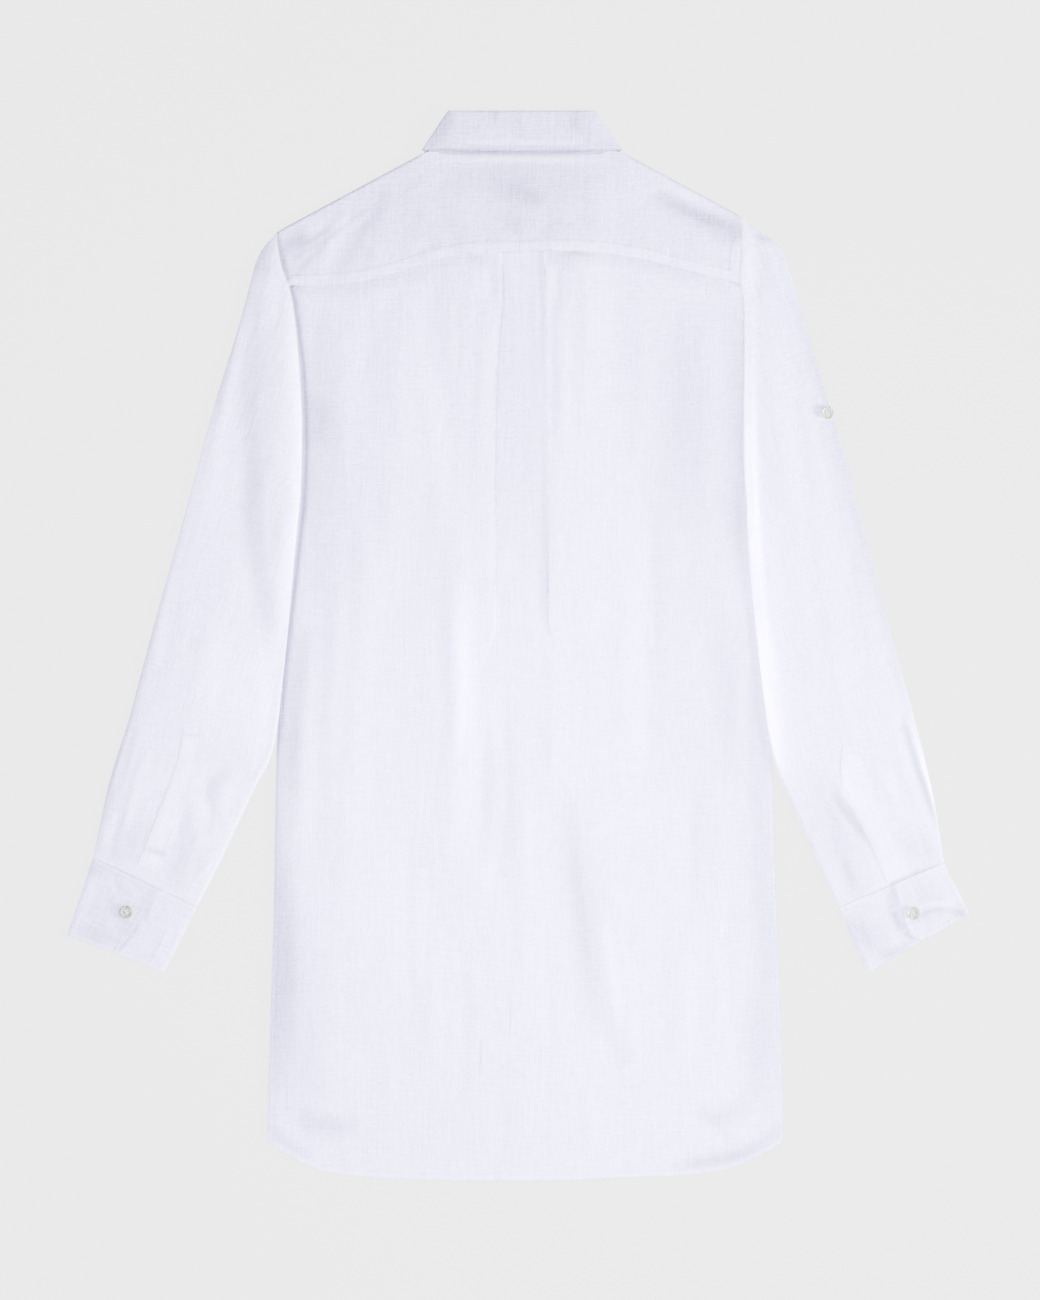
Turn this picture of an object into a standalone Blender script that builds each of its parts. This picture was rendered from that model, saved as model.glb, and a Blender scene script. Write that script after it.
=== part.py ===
"""A linen shirt dress laid flat on its front, seen from behind.

The collar points to +Y, the wearer's right is at +X and the cloth rests on z = 0. Sizes and tables are
in millimetres and become metres where a mesh is made. Each cloth piece is a wall between an outer and an
inner grid of points, and pieces that are sewn together end a small gap apart.
"""

import math

import bmesh
import bpy
from mathutils import Vector
from mathutils.bvhtree import BVHTree

MM = 0.001

# Driving dimensions
CENTRE = 6.0
COLLAR_CENTRE = 3.3
CLOTH = 1.0
CUFF_CLOTH = 1.4
GAP = 0.3
YOKE_SEAM_GAP = 0.8
ARMHOLE_GAP = 0.5
LEVEL = CLOTH + GAP
# Air under the back and inside the sleeves, and the runs over which it ends at seams and hem
LOFT = 2.0
PUFF = 2.6
SIDE_RUN = 45.0
HEM_RUN = 60.0
SHOULDER_RUN = 34.0
# The rise of the back over the front bands
BAND_SWELL = 3.0
BAND_SWELL_WIDTH = 80.0
BAND_SWELL_END = 340.0
BAND_SWELL_RUN = 50.0
# The fronts' overlap, raised by the buttons
OVERLAP = 16.0
BAND_RAMP = 34.0
BAND_FLAT = 17.5
BUTTON_LIFT = 1.5
FRONT_INSET = 1.7
# The place of the collar's front wings, which raise the layers over them
WING_BOTTOM = 298.0
WING_REACH = 106.0
WING_RAMP = 14.0
# The sleeve's lower layer, raised where it lies over the body's side below the armhole
COVER = 3.4
COVER_START = -17.0
COVER_RUN = 13.0
ARMHOLE_END = 120.0
YOKE_TURN = 26.0
SHOULDER_HEIGHT = 2.9
PLEAT_DEPTH = 20.0
PLEAT_BEND = 0.65
PLEAT_RISE_WIDTH = 62.0
BUTTON_RADIUS = 5.7
BUTTON_HOLE_RADIUS = 0.75
BUTTON_HOLE_SPREAD = 1.5
BUTTON_THICKNESS = 2.2
BUTTON_SIDES = 18
FRONT_BUTTON_SIDES = 14
HOLE_SIDES = 6
FRONT_BUTTON_COUNT = 8
FRONT_BUTTON_TOP = 268.0
FRONT_BUTTON_STEP = 82.0
FRONT_BUTTON_THICKNESS = 1.2

LINEN = ("linen", (0.86, 0.85, 0.90), 0.9)
SHELL = ("shell", (0.80, 0.82, 0.76), 0.25)

# y, x of the body's left edge: armhole, underarm below the sleeve, side seam
LEFT_EDGE = (
    (-428, -216), (-365, -214.7), (-236, -210.6), (-107, -208.3), (0, -204.5), (60, -202),
    (96, -200.5), (108, -196.5), (117, -188.2), (126, -187), (142, -186.4), (174, -186),
    (202, -186), (231, -187.7), (260, -189.8), (286, -192.8), (303, -195.6), (317, -200.2),
    (331.5, -204.9), (355.6, -208.6),
)
# y, x of the body's right edge
RIGHT_EDGE = (
    (-427.5, 228.6), (-365, 227.3), (-236, 223), (-107, 218.6), (0, 213.5), (60, 211),
    (96, 209.5), (108, 205.5), (117, 196.4), (128, 195), (160, 193.7), (211, 194.2),
    (254, 194.8), (282, 194.8), (300, 193.6), (314, 190.8), (325, 190.6), (340, 192.2), (368, 193.4),
)
# x, y of the hem, from the left side seam to the right one
HEM = (
    (-216, -428), (-197, -439.4), (-183.5, -446.3), (-172.5, -451.2), (-157.5, -454.6), (-129.5, -457.6),
    (-84.5, -459.6), (-20, -460), (36, -459.7), (105, -457), (134, -456.4), (166, -453.4),
    (186.5, -448.8), (201.5, -442.2), (214.5, -435.8), (228.6, -427.5),
)
# x, y of the curved seam between yoke and back
YOKE_SEAM = (
    (-195, 310), (-181.5, 310), (-156, 311), (-127.5, 314.5), (-99, 322.5), (-78.5, 329.5), (-58.5, 334.6),
    (-35.5, 337.4), (-13, 338.2), (21, 339.2), (44.5, 339.8), (73, 338.2), (90, 335.4), (116, 330.8),
    (145, 323), (173.5, 316), (196, 311.4),
)
# x, y of the yoke's upper edge: left shoulder, neck, right shoulder
YOKE_TOP = (
    (-209, 355.7), (-82, 423.8), (-60, 421.2), (-30, 419.2), (6, 418.4), (40, 419.2), (68, 421.4),
    (89.5, 424.4), (166.5, 383.2), (194, 368.2),
)
NECK_LEFT, NECK_RIGHT = -82.0, 89.5
# y, x of the two edges of the back pleat
PLEAT_LEFT = (
    (30, -19.6), (67, -19.1), (142, -19.5), (185, -19.1), (237, -17.8), (278, -14.8), (304, -12.7),
    (340, -13.9),
)
PLEAT_RIGHT = (
    (30, 25.2), (56, 24.8), (142, 25.2), (185, 26.2), (228, 25.6), (271, 23.9), (304, 23), (340, 21.9),
)
# y, depth of the cloth folded under at each edge of the pleat
PLEAT_UNDER = ((58, 1), (72, 6), (100, 16), (118, PLEAT_DEPTH), (345, PLEAT_DEPTH))
# y, turn of the pleat's folds in degrees
PLEAT_TURN = ((4, 8), (22, 60), (42, 140), (58, 180), (345, 180))
# x, y of the front neckline's left half, from the shoulder to the centre
FRONT_NECK = ((-82, 398), (-68, 374), (-50, 355), (-24, 342), (6, 338), (22, 338.6))

# Rows of the back, as y at the centre, from the yoke seam through the pleat to the hem
BACK_ROWS = (
    337.9, 326, 302, 270, 236, 200, 160, 122, 100, 80, 66, 57, 47, 37, 26, 12,
    -20, -57, -94, -131, -168, -205, -242, -279, -316, -353, -390, -422, -449, -460,
)
BACK_SIDE_COLUMNS = 8
# Rows of each front, as shares of its length from the shoulder to the hem
FRONT_ROWS = (
    0, 0.03, 0.06, 0.1, 0.15, 0.21, 0.255, 0.275, 0.29, 0.306, 0.37, 0.46, 0.57, 0.68, 0.79, 0.88, 0.95, 1,
)
FRONT_COLUMNS = 6
YOKE_ROWS = (0, 0.06, 0.2, 0.36, 0.52, 0.68, 0.84, 0.94, 1)
# Columns over each shoulder and over half the neck, as shares of the widths there
SHOULDER_COLUMNS = (0, 0.16, 0.34, 0.53, 0.72, 0.89, 1)
NECK_COLUMNS = 8
# Columns of each layer of a sleeve, as shares between its border over the body and its outer fold
SLEEVE_UPPER = (0.13, 0.26, 0.39, 0.52, 0.65, 0.76, 0.84, 0.92)
SLEEVE_LOWER = (0.9, 0.78, 0.5, 0.24)
CUFF_ROWS = (0, 0.12, 0.3, 0.5, 0.7, 0.86, 0.95, 1)

# Largest folds of the back and the yoke: x and y of both ends, half width, height
BACK_FOLDS = (
    (-42, 128, -40, -180, 17, 1.5),
    (-131, 128, -146, -190, 20, 1.6),
    (-17, -70, -16, -208, 9, -1.4),
    (57, -168, 82, -352, 11, -1.8),
    (98, -240, 104, -360, 14, 1.3),
    (113, 118, 113, -108, 13, -1.5),
    (148, -128, 150, -220, 10, -1.3),
    (-94, -190, -92, -300, 11, -1.3),
    (-172, 60, -188, -400, 13, -1.2),
    (152, -240, 150, -350, 26, 1.0),
    (-133, 376, -147, 332, 9, -1.3),
    (-160, 318, -188, 352, 9, -1.2),
    (122, 388, 194, 358, 10, -1.4),
    (-40, 380, -36, 350, 20, 0.8),
)
SLEEVE_FOLDS_LEFT = (
    (-230, 160, -222, 60, 9, -1.6),
    (-222, 60, -213, -30, 8, -1.6),
    (-250, -107, -271, -155, 8, -1.7),
    (-284, -138, -294, -168, 6, -1.0),
    (-268, 200, -300, 60, 18, 1.0),
    (-320, -175, -300, -176, 5, 1.2),
)
SLEEVE_FOLDS_RIGHT = (
    (208, 352, 214, 328, 6, -1.6),
    (240, 120, 262, 0, 20, 1.2),
    (268, -128, 298, -168, 8, -2.0),
    (331, -64, 362, -158, 4, -1.3),
    (286, 150, 300, 60, 14, -1.0),
)

# Outer fold x and y, inner fold x and y of each section of the left sleeve
SLEEVE_LEFT = (
    (-209.4, 355.4, -187.0, 140),
    (-218.6, 348.7, -187.8, 124),
    (-226.4, 329.8, -189.4, 106),
    (-230.7, 312.6, -191.2, 90),
    (-241.8, 271.3, -194.0, 56),
    (-260.8, 211.1, -197.6, 15),
    (-288.3, 107.9, -203.6, -42),
    (-314.0, 17.0, -210.2, -90),
    (-336.4, -68.4, -226.4, -121.7),
    (-351.1, -113.1, -243.6, -158.7),
    (-359.7, -151.8, -260.8, -194.8),
    (-365.7, -181.9, -276.5, -224.5),
)
SLEEVE_RIGHT = (
    (194.2, 367.6, 194.9, 140),
    (220.8, 355.6, 196.4, 124),
    (228.5, 339.0, 196.2, 106),
    (236.3, 314.3, 196.8, 90),
    (253.5, 256.7, 199.2, 55),
    (275.0, 187.0, 204.0, 12),
    (296.0, 108.0, 210.8, -46),
    (316.3, 27.1, 219.6, -99),
    (341.0, -61.0, 235.5, -135.4),
    (355.5, -121.0, 249.0, -165.6),
    (362.5, -158.7, 262.5, -198),
    (366.4, -186.4, 275.4, -225.2),
)
SLEEVE_SECTIONS = 19

# Corners of each cuff: outer and inner end of the seam, outer and inner end of the free edge
CUFF_LEFT = ((-365.9, -182.3), (-276.7, -225.2), (-388.3, -249.0), (-304.6, -280.8))
CUFF_RIGHT = ((366.6, -186.8), (275.7, -225.8), (388.3, -230.2), (300.8, -281.6))
# Share of the cuff's depth, share of its width where the upper end of the cuff stops
OVERLAP_LEFT = ((0, 0.39), (0.3, 0.4), (0.65, 0.425), (0.9, 0.46), (1, 0.49))
OVERLAP_RIGHT = ((0, 0.53), (0.3, 0.5), (0.55, 0.475), (0.78, 0.47), (0.92, 0.49), (1, 0.54))
CUFF_UNDER = 0.27
CUFF_BUTTON_LEFT = (-336.7, -228.9)
CUFF_BUTTON_RIGHT = (339.5, -230.0)
TAB_BUTTON = (265.6, 199.9)
TAB_BUTTON_TILT = 9.0
PLACKET_REACH = 5.5

# Left and right edge of each sleeve placket: x and y of both, from its top to the cuff
PLACKET_LEFT = (
    (-287.5, -70.6, -271.5, -71.0),
    (-289.0, -86.0, -272.5, -84.0),
    (-296.5, -112.0, -279.0, -108.0),
    (-304.5, -131.0, -287.5, -133.0),
    (-312.5, -152.0, -295.5, -158.5),
    (-319.5, -171.0, -304.0, -180.0),
    (-326.8, -188.0, -310.5, -196.0),
)
PLACKET_RIGHT = (
    (279.6, -86.6, 294.0, -85.4),
    (277.4, -104.5, 298.2, -98.5),
    (278.6, -122.5, 305.2, -120.5),
    (289.8, -144.5, 314.8, -146.0),
    (300.2, -164.0, 323.4, -165.0),
    (310.0, -186.0, 331.5, -182.5),
    (318.2, -204.8, 338.6, -196.2),
)

# Collar leaf, left half, from the centre front to the side: x and y on the fold line, x and y on the
# free edge
LEAF_FRONT = (
    (3.0, 366.0, -54.0, 318.0),
    (-24.0, 380.0, -63.0, 345.0),
    (-44.0, 405.0, -72.5, 376.0),
    (-55.0, 434.0, -79.5, 402.0),
)
LEAF_SIDE = (-61.2, 460.0, -83.4, 426.2)
LEAF_BACK = ((-44.0, 460.0, -58.0, 425.6), (-20.0, 460.0, -26.0, 425.3))
# Collar stand, left half: x and y on its upper edge, x and y on the neck seam
STAND_FRONT = (
    (3.0, 364.5, 3.0, 338.8),
    (-19.0, 371.0, -23.0, 342.8),
    (-38.0, 388.0, -49.0, 356.2),
    (-49.0, 411.0, -66.5, 375.8),
    (-55.5, 434.0, -79.0, 400.5),
)
STAND_SIDE = (-58.8, 456.0, -78.6, 424.6)
STAND_BACK = ((-40.0, 457.4, -56.0, 421.6), (-18.0, 457.4, -26.0, 419.7))


def clamp(value, low=0.0, high=1.0):
    return max(low, min(high, value))


def soft_step(value):
    """Rises smoothly from 0 to 1 as the value goes from 0 to 1."""
    value = clamp(value)
    return value * value * (3 - 2 * value)


def mix(a, b, share):
    return a + (b - a) * share


def mix_points(a, b, share):
    return tuple(mix(p, q, share) for p, q in zip(a, b))


def slopes(rows):
    """The slope of a smooth curve at each row of a table, without overshoot between rows."""
    steps = [(b[1] - a[1]) / (b[0] - a[0]) for a, b in zip(rows, rows[1:])]
    inner = [2 * a * b / (a + b) if a * b > 0 else 0.0 for a, b in zip(steps, steps[1:])]
    return [steps[0], *inner, steps[-1]]


def curve(rows):
    """A function that follows a table of (place, value) smoothly and stays level past its ends."""
    lean = slopes(rows)

    def value(place):
        place = clamp(place, rows[0][0], rows[-1][0])
        i = next(k for k in range(len(rows) - 1) if place <= rows[k + 1][0])
        (a, p), (b, q) = rows[i], rows[i + 1]
        width = b - a
        t = (place - a) / width
        return (
            (2 * t**3 - 3 * t**2 + 1) * p
            + (t**3 - 2 * t**2 + t) * width * lean[i]
            + (3 * t**2 - 2 * t**3) * q
            + (t**3 - t**2) * width * lean[i + 1]
        )

    return value


def sections(rows, count):
    """Evenly many sections along a table of rows, each value following its own smooth curve."""
    columns = [curve([(i, row[k]) for i, row in enumerate(rows)]) for k in range(len(rows[0]))]
    last = len(rows) - 1
    return [tuple(column(last * i / (count - 1)) for column in columns) for i in range(count)]


left_edge = curve(LEFT_EDGE)
right_edge = curve(RIGHT_EDGE)
hem = curve(HEM)
yoke_seam = curve(YOKE_SEAM)
pleat_left = curve(PLEAT_LEFT)
pleat_right = curve(PLEAT_RIGHT)
pleat_under = curve(PLEAT_UNDER)
pleat_turn = curve(PLEAT_TURN)
neck_edge = curve([row for row in YOKE_TOP if NECK_LEFT <= row[0] <= NECK_RIGHT])
left_shoulder = curve([row for row in YOKE_TOP if row[0] <= NECK_LEFT])
right_shoulder = curve([row for row in YOKE_TOP if row[0] >= NECK_RIGHT])
front_neck = curve(FRONT_NECK)


def yoke_top(x):
    """The yoke's upper edge: a shoulder on each side of the neck seam."""
    if x <= NECK_LEFT:
        return left_shoulder(x)
    if x >= NECK_RIGHT:
        return right_shoulder(x)
    return neck_edge(x)


def folds(x, y, table):
    """The height that soft ridges and troughs give at a point."""
    height = 0.0
    for x0, y0, x1, y1, width, rise in table:
        dx, dy = x1 - x0, y1 - y0
        long = math.hypot(dx, dy)
        along = ((x - x0) * dx + (y - y0) * dy) / long
        across = ((x - x0) * dy - (y - y0) * dx) / long
        past = max(-along, along - long, 0.0)
        height += rise * math.exp(-((across / width) ** 2) - (past / (1.6 * width)) ** 2)
    return height


def collar_lift(x, y):
    """How far the collar's front wings raise the layers that lie on them."""
    beside = soft_step((WING_REACH - abs(x - CENTRE)) / WING_RAMP)
    return LEVEL * soft_step((y - WING_BOTTOM) / WING_RAMP) * beside


def band_lift(x):
    """How far the front buttons raise the overlapping fronts."""
    return BUTTON_LIFT * soft_step((BAND_RAMP - abs(x - CENTRE)) / (BAND_RAMP - BAND_FLAT))


def right_front_bottom(x, y):
    return max(band_lift(x), collar_lift(x, y))


def left_front_bottom(x, y):
    over = soft_step((x - CENTRE + BAND_RAMP) / (BAND_RAMP - BAND_FLAT))
    return right_front_bottom(x, y) + LEVEL * over


def back_bottom(x, y):
    """The underside of the back and the yoke, above the fronts, without the pleat's extra layers."""
    side = soft_step(min(x - left_edge(y), right_edge(y) - x) / SIDE_RUN)
    end = soft_step((y - hem(x)) / HEM_RUN) * soft_step((yoke_top(x) - y) / SHOULDER_RUN)
    swell = BAND_SWELL * math.exp(-(((x - CENTRE) / BAND_SWELL_WIDTH) ** 2))
    swell *= 1 - soft_step((y - BAND_SWELL_END) / BAND_SWELL_RUN)
    loft = max(0.0, LOFT + folds(x, y, BACK_FOLDS))
    return LEVEL + max(swell, collar_lift(x, y)) + side * end * loft


def new_object(name, bm, finish):
    """An object with its own material from a finished mesh."""
    mesh = bpy.data.meshes.new(name)
    bm.to_mesh(mesh)
    bm.free()
    mesh.shade_smooth()
    mesh.set_sharp_from_angle(angle=math.radians(50))
    kind, colour, roughness = finish
    material = bpy.data.materials.new(f"{name}_{kind}")
    material.use_nodes = True
    shader = material.node_tree.nodes["Principled BSDF"]
    shader.inputs["Base Color"].default_value = (*colour, 1)
    shader.inputs["Roughness"].default_value = roughness
    shader.inputs["Metallic"].default_value = 0.0
    mesh.materials.append(material)
    piece = bpy.data.objects.new(name, mesh)
    bpy.context.scene.collection.objects.link(piece)
    return piece


def cloth(name, outer, inner, ring=False, finish=LINEN):
    """One closed wall between two grids of points, rimmed wherever the grid ends.

    A missing point, given as None, leaves its cells out. A ring joins the last column to the first.
    """
    bm = bmesh.new()
    corners = {}
    for side, grid in enumerate((outer, inner)):
        for i, row in enumerate(grid):
            for j, point in enumerate(row):
                if point is not None:
                    corners[side, i, j] = bm.verts.new([value * MM for value in point])
    rims = {}
    columns = len(outer[0])
    for i in range(len(outer) - 1):
        for j in range(columns if ring else columns - 1):
            k = (j + 1) % columns
            cell = ((i, j), (i, k), (i + 1, k), (i + 1, j))
            if any((0, *corner) not in corners for corner in cell):
                continue
            bm.faces.new([corners[0, a, b] for a, b in cell])
            bm.faces.new([corners[1, a, b] for a, b in reversed(cell)])
            for start, end in zip(cell, cell[1:] + cell[:1]):
                if rims.pop((end, start), None) is None:
                    rims[start, end] = True
    for start, end in rims:
        bm.faces.new([corners[0, *end], corners[0, *start], corners[1, *start], corners[1, *end]])
    bmesh.ops.recalc_face_normals(bm, faces=bm.faces)
    return new_object(name, bm, finish)


def layer(name, places, bottom):
    """A wall over a grid of (x, y) places, with its underside at the given height."""
    inner = [[(x, y, bottom(x, y)) for x, y in row] for row in places]
    outer = [[(x, y, z + CLOTH) for x, y, z in row] for row in inner]
    return cloth(name, outer, inner)


def pleat_path(y, side, edge):
    """Centre points and headings across one fold of the pleat, from the side panel to the recessed panel.

    Each row is (x, height above the recessed panel, heading in radians); side is -1 on the left.
    """
    turn = math.radians(pleat_turn(y))
    under = pleat_under(y)
    height = 2 * PLEAT_BEND * (1 - math.cos(turn)) + under * math.sin(turn)
    x, z = edge(y) + side * (PLEAT_BEND + CLOTH / 2), height
    path = [(x, z, 0.0)]
    for share in (0.5, 1.0):
        angle = turn * share
        path.append((
            x - side * PLEAT_BEND * math.sin(angle),
            z - PLEAT_BEND * (1 - math.cos(angle)),
            angle,
        ))
    x0, z0, _ = path[-1]
    for share in (0.5, 1.0):
        path.append((
            x0 - side * under * share * math.cos(turn),
            z0 - under * share * math.sin(turn),
            turn,
        ))
    x1, z1, _ = path[-1]
    for share in (0.5, 1.0):
        angle = turn * (1 - share)
        path.append((
            x1 - side * PLEAT_BEND * (math.sin(turn) - math.sin(angle)),
            z1 - PLEAT_BEND * (math.cos(angle) - math.cos(turn)),
            angle,
        ))
    return path, height


def pleat_rise(distance, height):
    """How far the side panel stands above the recessed level, by its distance from the pleat."""
    return height * soft_step((PLEAT_RISE_WIDTH - distance) / (PLEAT_RISE_WIDTH - PLEAT_DEPTH - 4))


def back_row(y):
    """One row of the back as (x, z, heading) of its centre line, folded at the pleat."""
    row = []
    middle = (pleat_left(y) + pleat_right(y)) / 2
    for side, edge, body in ((-1, pleat_left, left_edge), (1, pleat_right, right_edge)):
        path, height = pleat_path(y, side, edge)
        start = path[0][0]
        panel = []
        for k in range(BACK_SIDE_COLUMNS):
            x = mix(body(y), start, 1 - (1 - k / BACK_SIDE_COLUMNS) ** 1.15)
            panel.append((x, pleat_rise(abs(x - start), height), 0.0))
        fold = [(x, z, side * angle) for x, z, angle in path]
        deep = fold[-1][0]
        inward = [(mix(deep, middle, share), 0.0, 0.0) for share in (0.45, 0.8)]
        row.append(panel + fold + inward)
    left, right = row
    return [*left, (middle, 0.0, 0.0), *reversed(right)]


def make_back():
    """The back panel: flat at the sides, an inverted pleat under the yoke, and a curved hem."""
    highest, lowest = BACK_ROWS[0], BACK_ROWS[-1]
    outer, inner = [], []
    for y_row in BACK_ROWS:
        cells = back_row(y_row)
        count = len(cells) - 1
        below_pleat = soft_step((14 - y_row) / 90)
        near_seam = soft_step((y_row - highest + 88) / 88)
        near_hem = soft_step((lowest + 130 - y_row) / 130)
        outer_row, inner_row = [], []
        for j, (x, rise, heading) in enumerate(cells):
            even = mix(left_edge(y_row), right_edge(y_row), j / count)
            x = mix(x, even, below_pleat)
            y = y_row + (yoke_seam(x) - YOKE_SEAM_GAP - highest) * near_seam
            y += (hem(x) - lowest) * near_hem
            if j in (0, count):
                inset = ARMHOLE_GAP * soft_step((y - 90) / 20)
                x = left_edge(y) + inset if j == 0 else right_edge(y) - inset
            z = back_bottom(x, y) + rise * (1 - below_pleat) + CLOTH / 2
            dx, dz = math.sin(heading) * CLOTH / 2, math.cos(heading) * CLOTH / 2
            outer_row.append((x - dx, y, z + dz))
            inner_row.append((x + dx, y, z - dz))
        outer.append(outer_row)
        inner.append(inner_row)
    return cloth("back_panel", outer, inner)


def make_front(name, side, bottom):
    """One plain front, from its side seam past the centre, under or over the other one."""
    body = left_edge if side < 0 else right_edge
    far = CENTRE - side * OVERLAP
    near = CENTRE + side * BAND_RAMP
    bends = [CENTRE + side * BAND_RAMP * 0.78, CENTRE + side * BAND_FLAT, CENTRE]

    def top(x):
        neck = front_neck(COLLAR_CENTRE - abs(x - COLLAR_CENTRE))
        shoulder = yoke_top(x) - YOKE_TURN
        return (neck if NECK_LEFT < x < NECK_RIGHT else shoulder) - YOKE_SEAM_GAP

    def height(x, share):
        return mix(top(x), hem(x) + FRONT_INSET, share)

    places = []
    for share in FRONT_ROWS:
        row = []
        for k in range(FRONT_COLUMNS + 1):
            y = height(near, share)
            for _ in range(8):
                x = mix(body(y) - side * FRONT_INSET, near, k / FRONT_COLUMNS)
                y = height(x, share)
            row.append((x, y))
        row += [(x, height(x, share)) for x in (*bends, far)]
        places.append(row)
    return layer(name, places, bottom)


def make_yoke():
    """The yoke: over the upper back, round both shoulder edges, to a short turn below."""
    left_tip, right_tip = left_edge(LEFT_EDGE[-1][0]), right_edge(RIGHT_EDGE[-1][0])
    columns = [mix(left_tip + ARMHOLE_GAP, NECK_LEFT, share) for share in SHOULDER_COLUMNS]
    columns += [mix(NECK_LEFT, NECK_RIGHT, k / NECK_COLUMNS) for k in range(1, NECK_COLUMNS)]
    columns += [mix(right_tip - ARMHOLE_GAP, NECK_RIGHT, share) for share in reversed(SHOULDER_COLUMNS)]
    neck = [NECK_LEFT < x < NECK_RIGHT for x in columns]
    outer, inner = [], []
    bend = SHOULDER_HEIGHT / 2

    def place(x_top, y):
        """Slides a column's point with the armhole that bounds it."""
        slide = left_edge(y) - left_tip if x_top < CENTRE else right_edge(y) - right_tip
        reach = soft_step((abs(x_top - CENTRE) - 90) / 110)
        return x_top + slide * reach

    def outline(x_top, below, share):
        """A point of a column, from the seam (0) to below the upper edge (1)."""
        x, y = x_top, yoke_top(x_top) - below
        for _ in range(6):
            x = place(x_top, y)
            y = mix(yoke_seam(x), yoke_top(x) - below, share)
        return x, y

    for share in YOKE_ROWS:
        outer_row, inner_row = [], []
        for x_top, is_neck in zip(columns, neck):
            below = 0 if is_neck else bend
            x, y = outline(x_top, below, share)
            end = yoke_top(x) - below
            roll = (SHOULDER_HEIGHT - 2 * CLOTH - GAP) * soft_step((y - end + 20) / 20)
            distance = max(pleat_left(300) - x, x - pleat_right(300), 0)
            under = 2 * LEVEL * soft_step((PLEAT_RISE_WIDTH - distance) / 40)
            z = back_bottom(x, y) + (0 if is_neck else roll)
            z += (under + 0.5) * (1 - soft_step((y - yoke_seam(x)) / 45))
            inner_row.append((x, y, z))
            outer_row.append((x, y, z + CLOTH))
        outer.append(outer_row)
        inner.append(inner_row)
    turn_rows = [("bend", 0.0)] + [("turn", share) for share in (0, 0.5, 1)]
    for kind, share in turn_rows:
        outer_row, inner_row = [], []
        for x_top, is_neck in zip(columns, neck):
            if is_neck:
                outer_row.append(None)
                inner_row.append(None)
                continue
            x, y = outline(x_top, 0 if kind == "bend" else mix(bend, YOKE_TURN, share), 1)
            low = collar_lift(x, y)
            if kind == "bend":
                outer_row.append((x, y, low + bend))
                inner_row.append((x, y - CLOTH, low + bend))
            else:
                outer_row.append((x, y, low))
                inner_row.append((x, y, low + CLOTH))
        outer.append(outer_row)
        inner.append(inner_row)
    return cloth("yoke", outer, inner)


def make_sleeve(name, side, rows, table):
    """A closed tube laid flat: its sections fan from the armhole seam to the cuff seam."""
    body = left_edge if side < 0 else right_edge

    def inside(x, y):
        """How far a point lies inside the body's side edge; negative outside."""
        return -side * (x - body(y))

    def cover(x, y):
        """The height of the body's side under the sleeve, below the armhole."""
        below = soft_step((ARMHOLE_END + WING_RAMP - y) / WING_RAMP)
        return COVER * below * soft_step((inside(x, y) - COVER_START) / COVER_RUN)

    outer, inner = [], []
    for index, (ox, oy, ix, iy) in enumerate(sections(rows, SLEEVE_SECTIONS)):
        along = index / (SLEEVE_SECTIONS - 1)
        long = math.hypot(ox - ix, oy - iy)
        seam = 1 - soft_step(along / 0.16)

        def spot(share):
            x, y = mix(ix, ox, share), mix(iy, oy, share)
            pull = (body(y) + side * GAP - x) * seam if y > ARMHOLE_END else 0.0
            return x + pull * soft_step(share / 0.04), y

        border = 0.06
        for k in range(60):
            x, y = spot(k / 100)
            if inside(x, y) > COVER_START + COVER_RUN and y < ARMHOLE_END + 4:
                border = max(border, (k + 2) / 100)
        tip = 1.7 / long
        near_border = [tip, border * 0.5, border]
        upper = [*near_border, *(mix(border, 1, share) for share in SLEEVE_UPPER), 1 - tip]
        lower = [1 - tip, *(mix(border, 1, share) for share in SLEEVE_LOWER), *reversed(near_border)]
        puff = PUFF * soft_step(along / 0.07) * soft_step((1 - along) / 0.12 + 0.25)

        def height(share, x, y):
            """Of the upper layer's top above the lower layer's underside."""
            swell = (4 * share * (1 - share)) ** 0.5
            return 2 * CLOTH + GAP + swell * max(0.0, puff + folds(x, y, table) * soft_step(along / 0.07))

        out_ring, in_ring = [], []
        for end, direction in ((0.0, 1), (1.0, -1)):
            x, y = spot(end)
            z = cover(x, y) + CLOTH + GAP / 2
            step = CLOTH / long * direction
            nx, ny = spot(end + step)
            run = upper if direction > 0 else lower
            out_ring.append((x, y, z))
            in_ring.append((nx, ny, z))
            for share in run:
                x, y = spot(share)
                low = cover(x, y)
                if direction > 0:
                    top = low + height(share, x, y)
                    out_ring.append((x, y, top))
                    in_ring.append((x, y, top - CLOTH))
                else:
                    out_ring.append((x, y, low))
                    in_ring.append((x, y, low + CLOTH))
        outer.append(out_ring)
        inner.append(in_ring)
    return cloth(name, outer, inner, ring=True)


def surface_of(piece):
    return BVHTree.FromPolygons(
        [vertex.co for vertex in piece.data.vertices],
        [tuple(face.vertices) for face in piece.data.polygons],
    )


def top_near(tree, x, y, radius):
    """The highest point of a surface within a small circle, in millimetres."""
    best = 0.0
    for ring in (0.0, 0.5, 1.0):
        for k in range(8):
            angle = math.tau * k / 8
            reach = ring * radius
            spot = Vector((x + reach * math.cos(angle), y + reach * math.sin(angle), 50)) * MM
            hit = tree.ray_cast(spot, Vector((0, 0, -1)))[0]
            if hit is not None:
                best = max(best, hit.z / MM)
    return best


def make_placket(name, rows, sleeve):
    """The strip that finishes the sleeve's slit, lying on the sleeve."""
    tree = surface_of(sleeve)
    inner = []
    for x0, y0, x1, y1 in sections(rows, 12):
        row = []
        for share in (0, 0.5, 1):
            x, y = mix(x0, x1, share), mix(y0, y1, share)
            row.append((x, y, top_near(tree, x, y, PLACKET_REACH) + GAP))
        inner.append(row)
    outer = [[(x, y, z + CLOTH) for x, y, z in row] for row in inner]
    return cloth(name, outer, inner)


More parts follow.
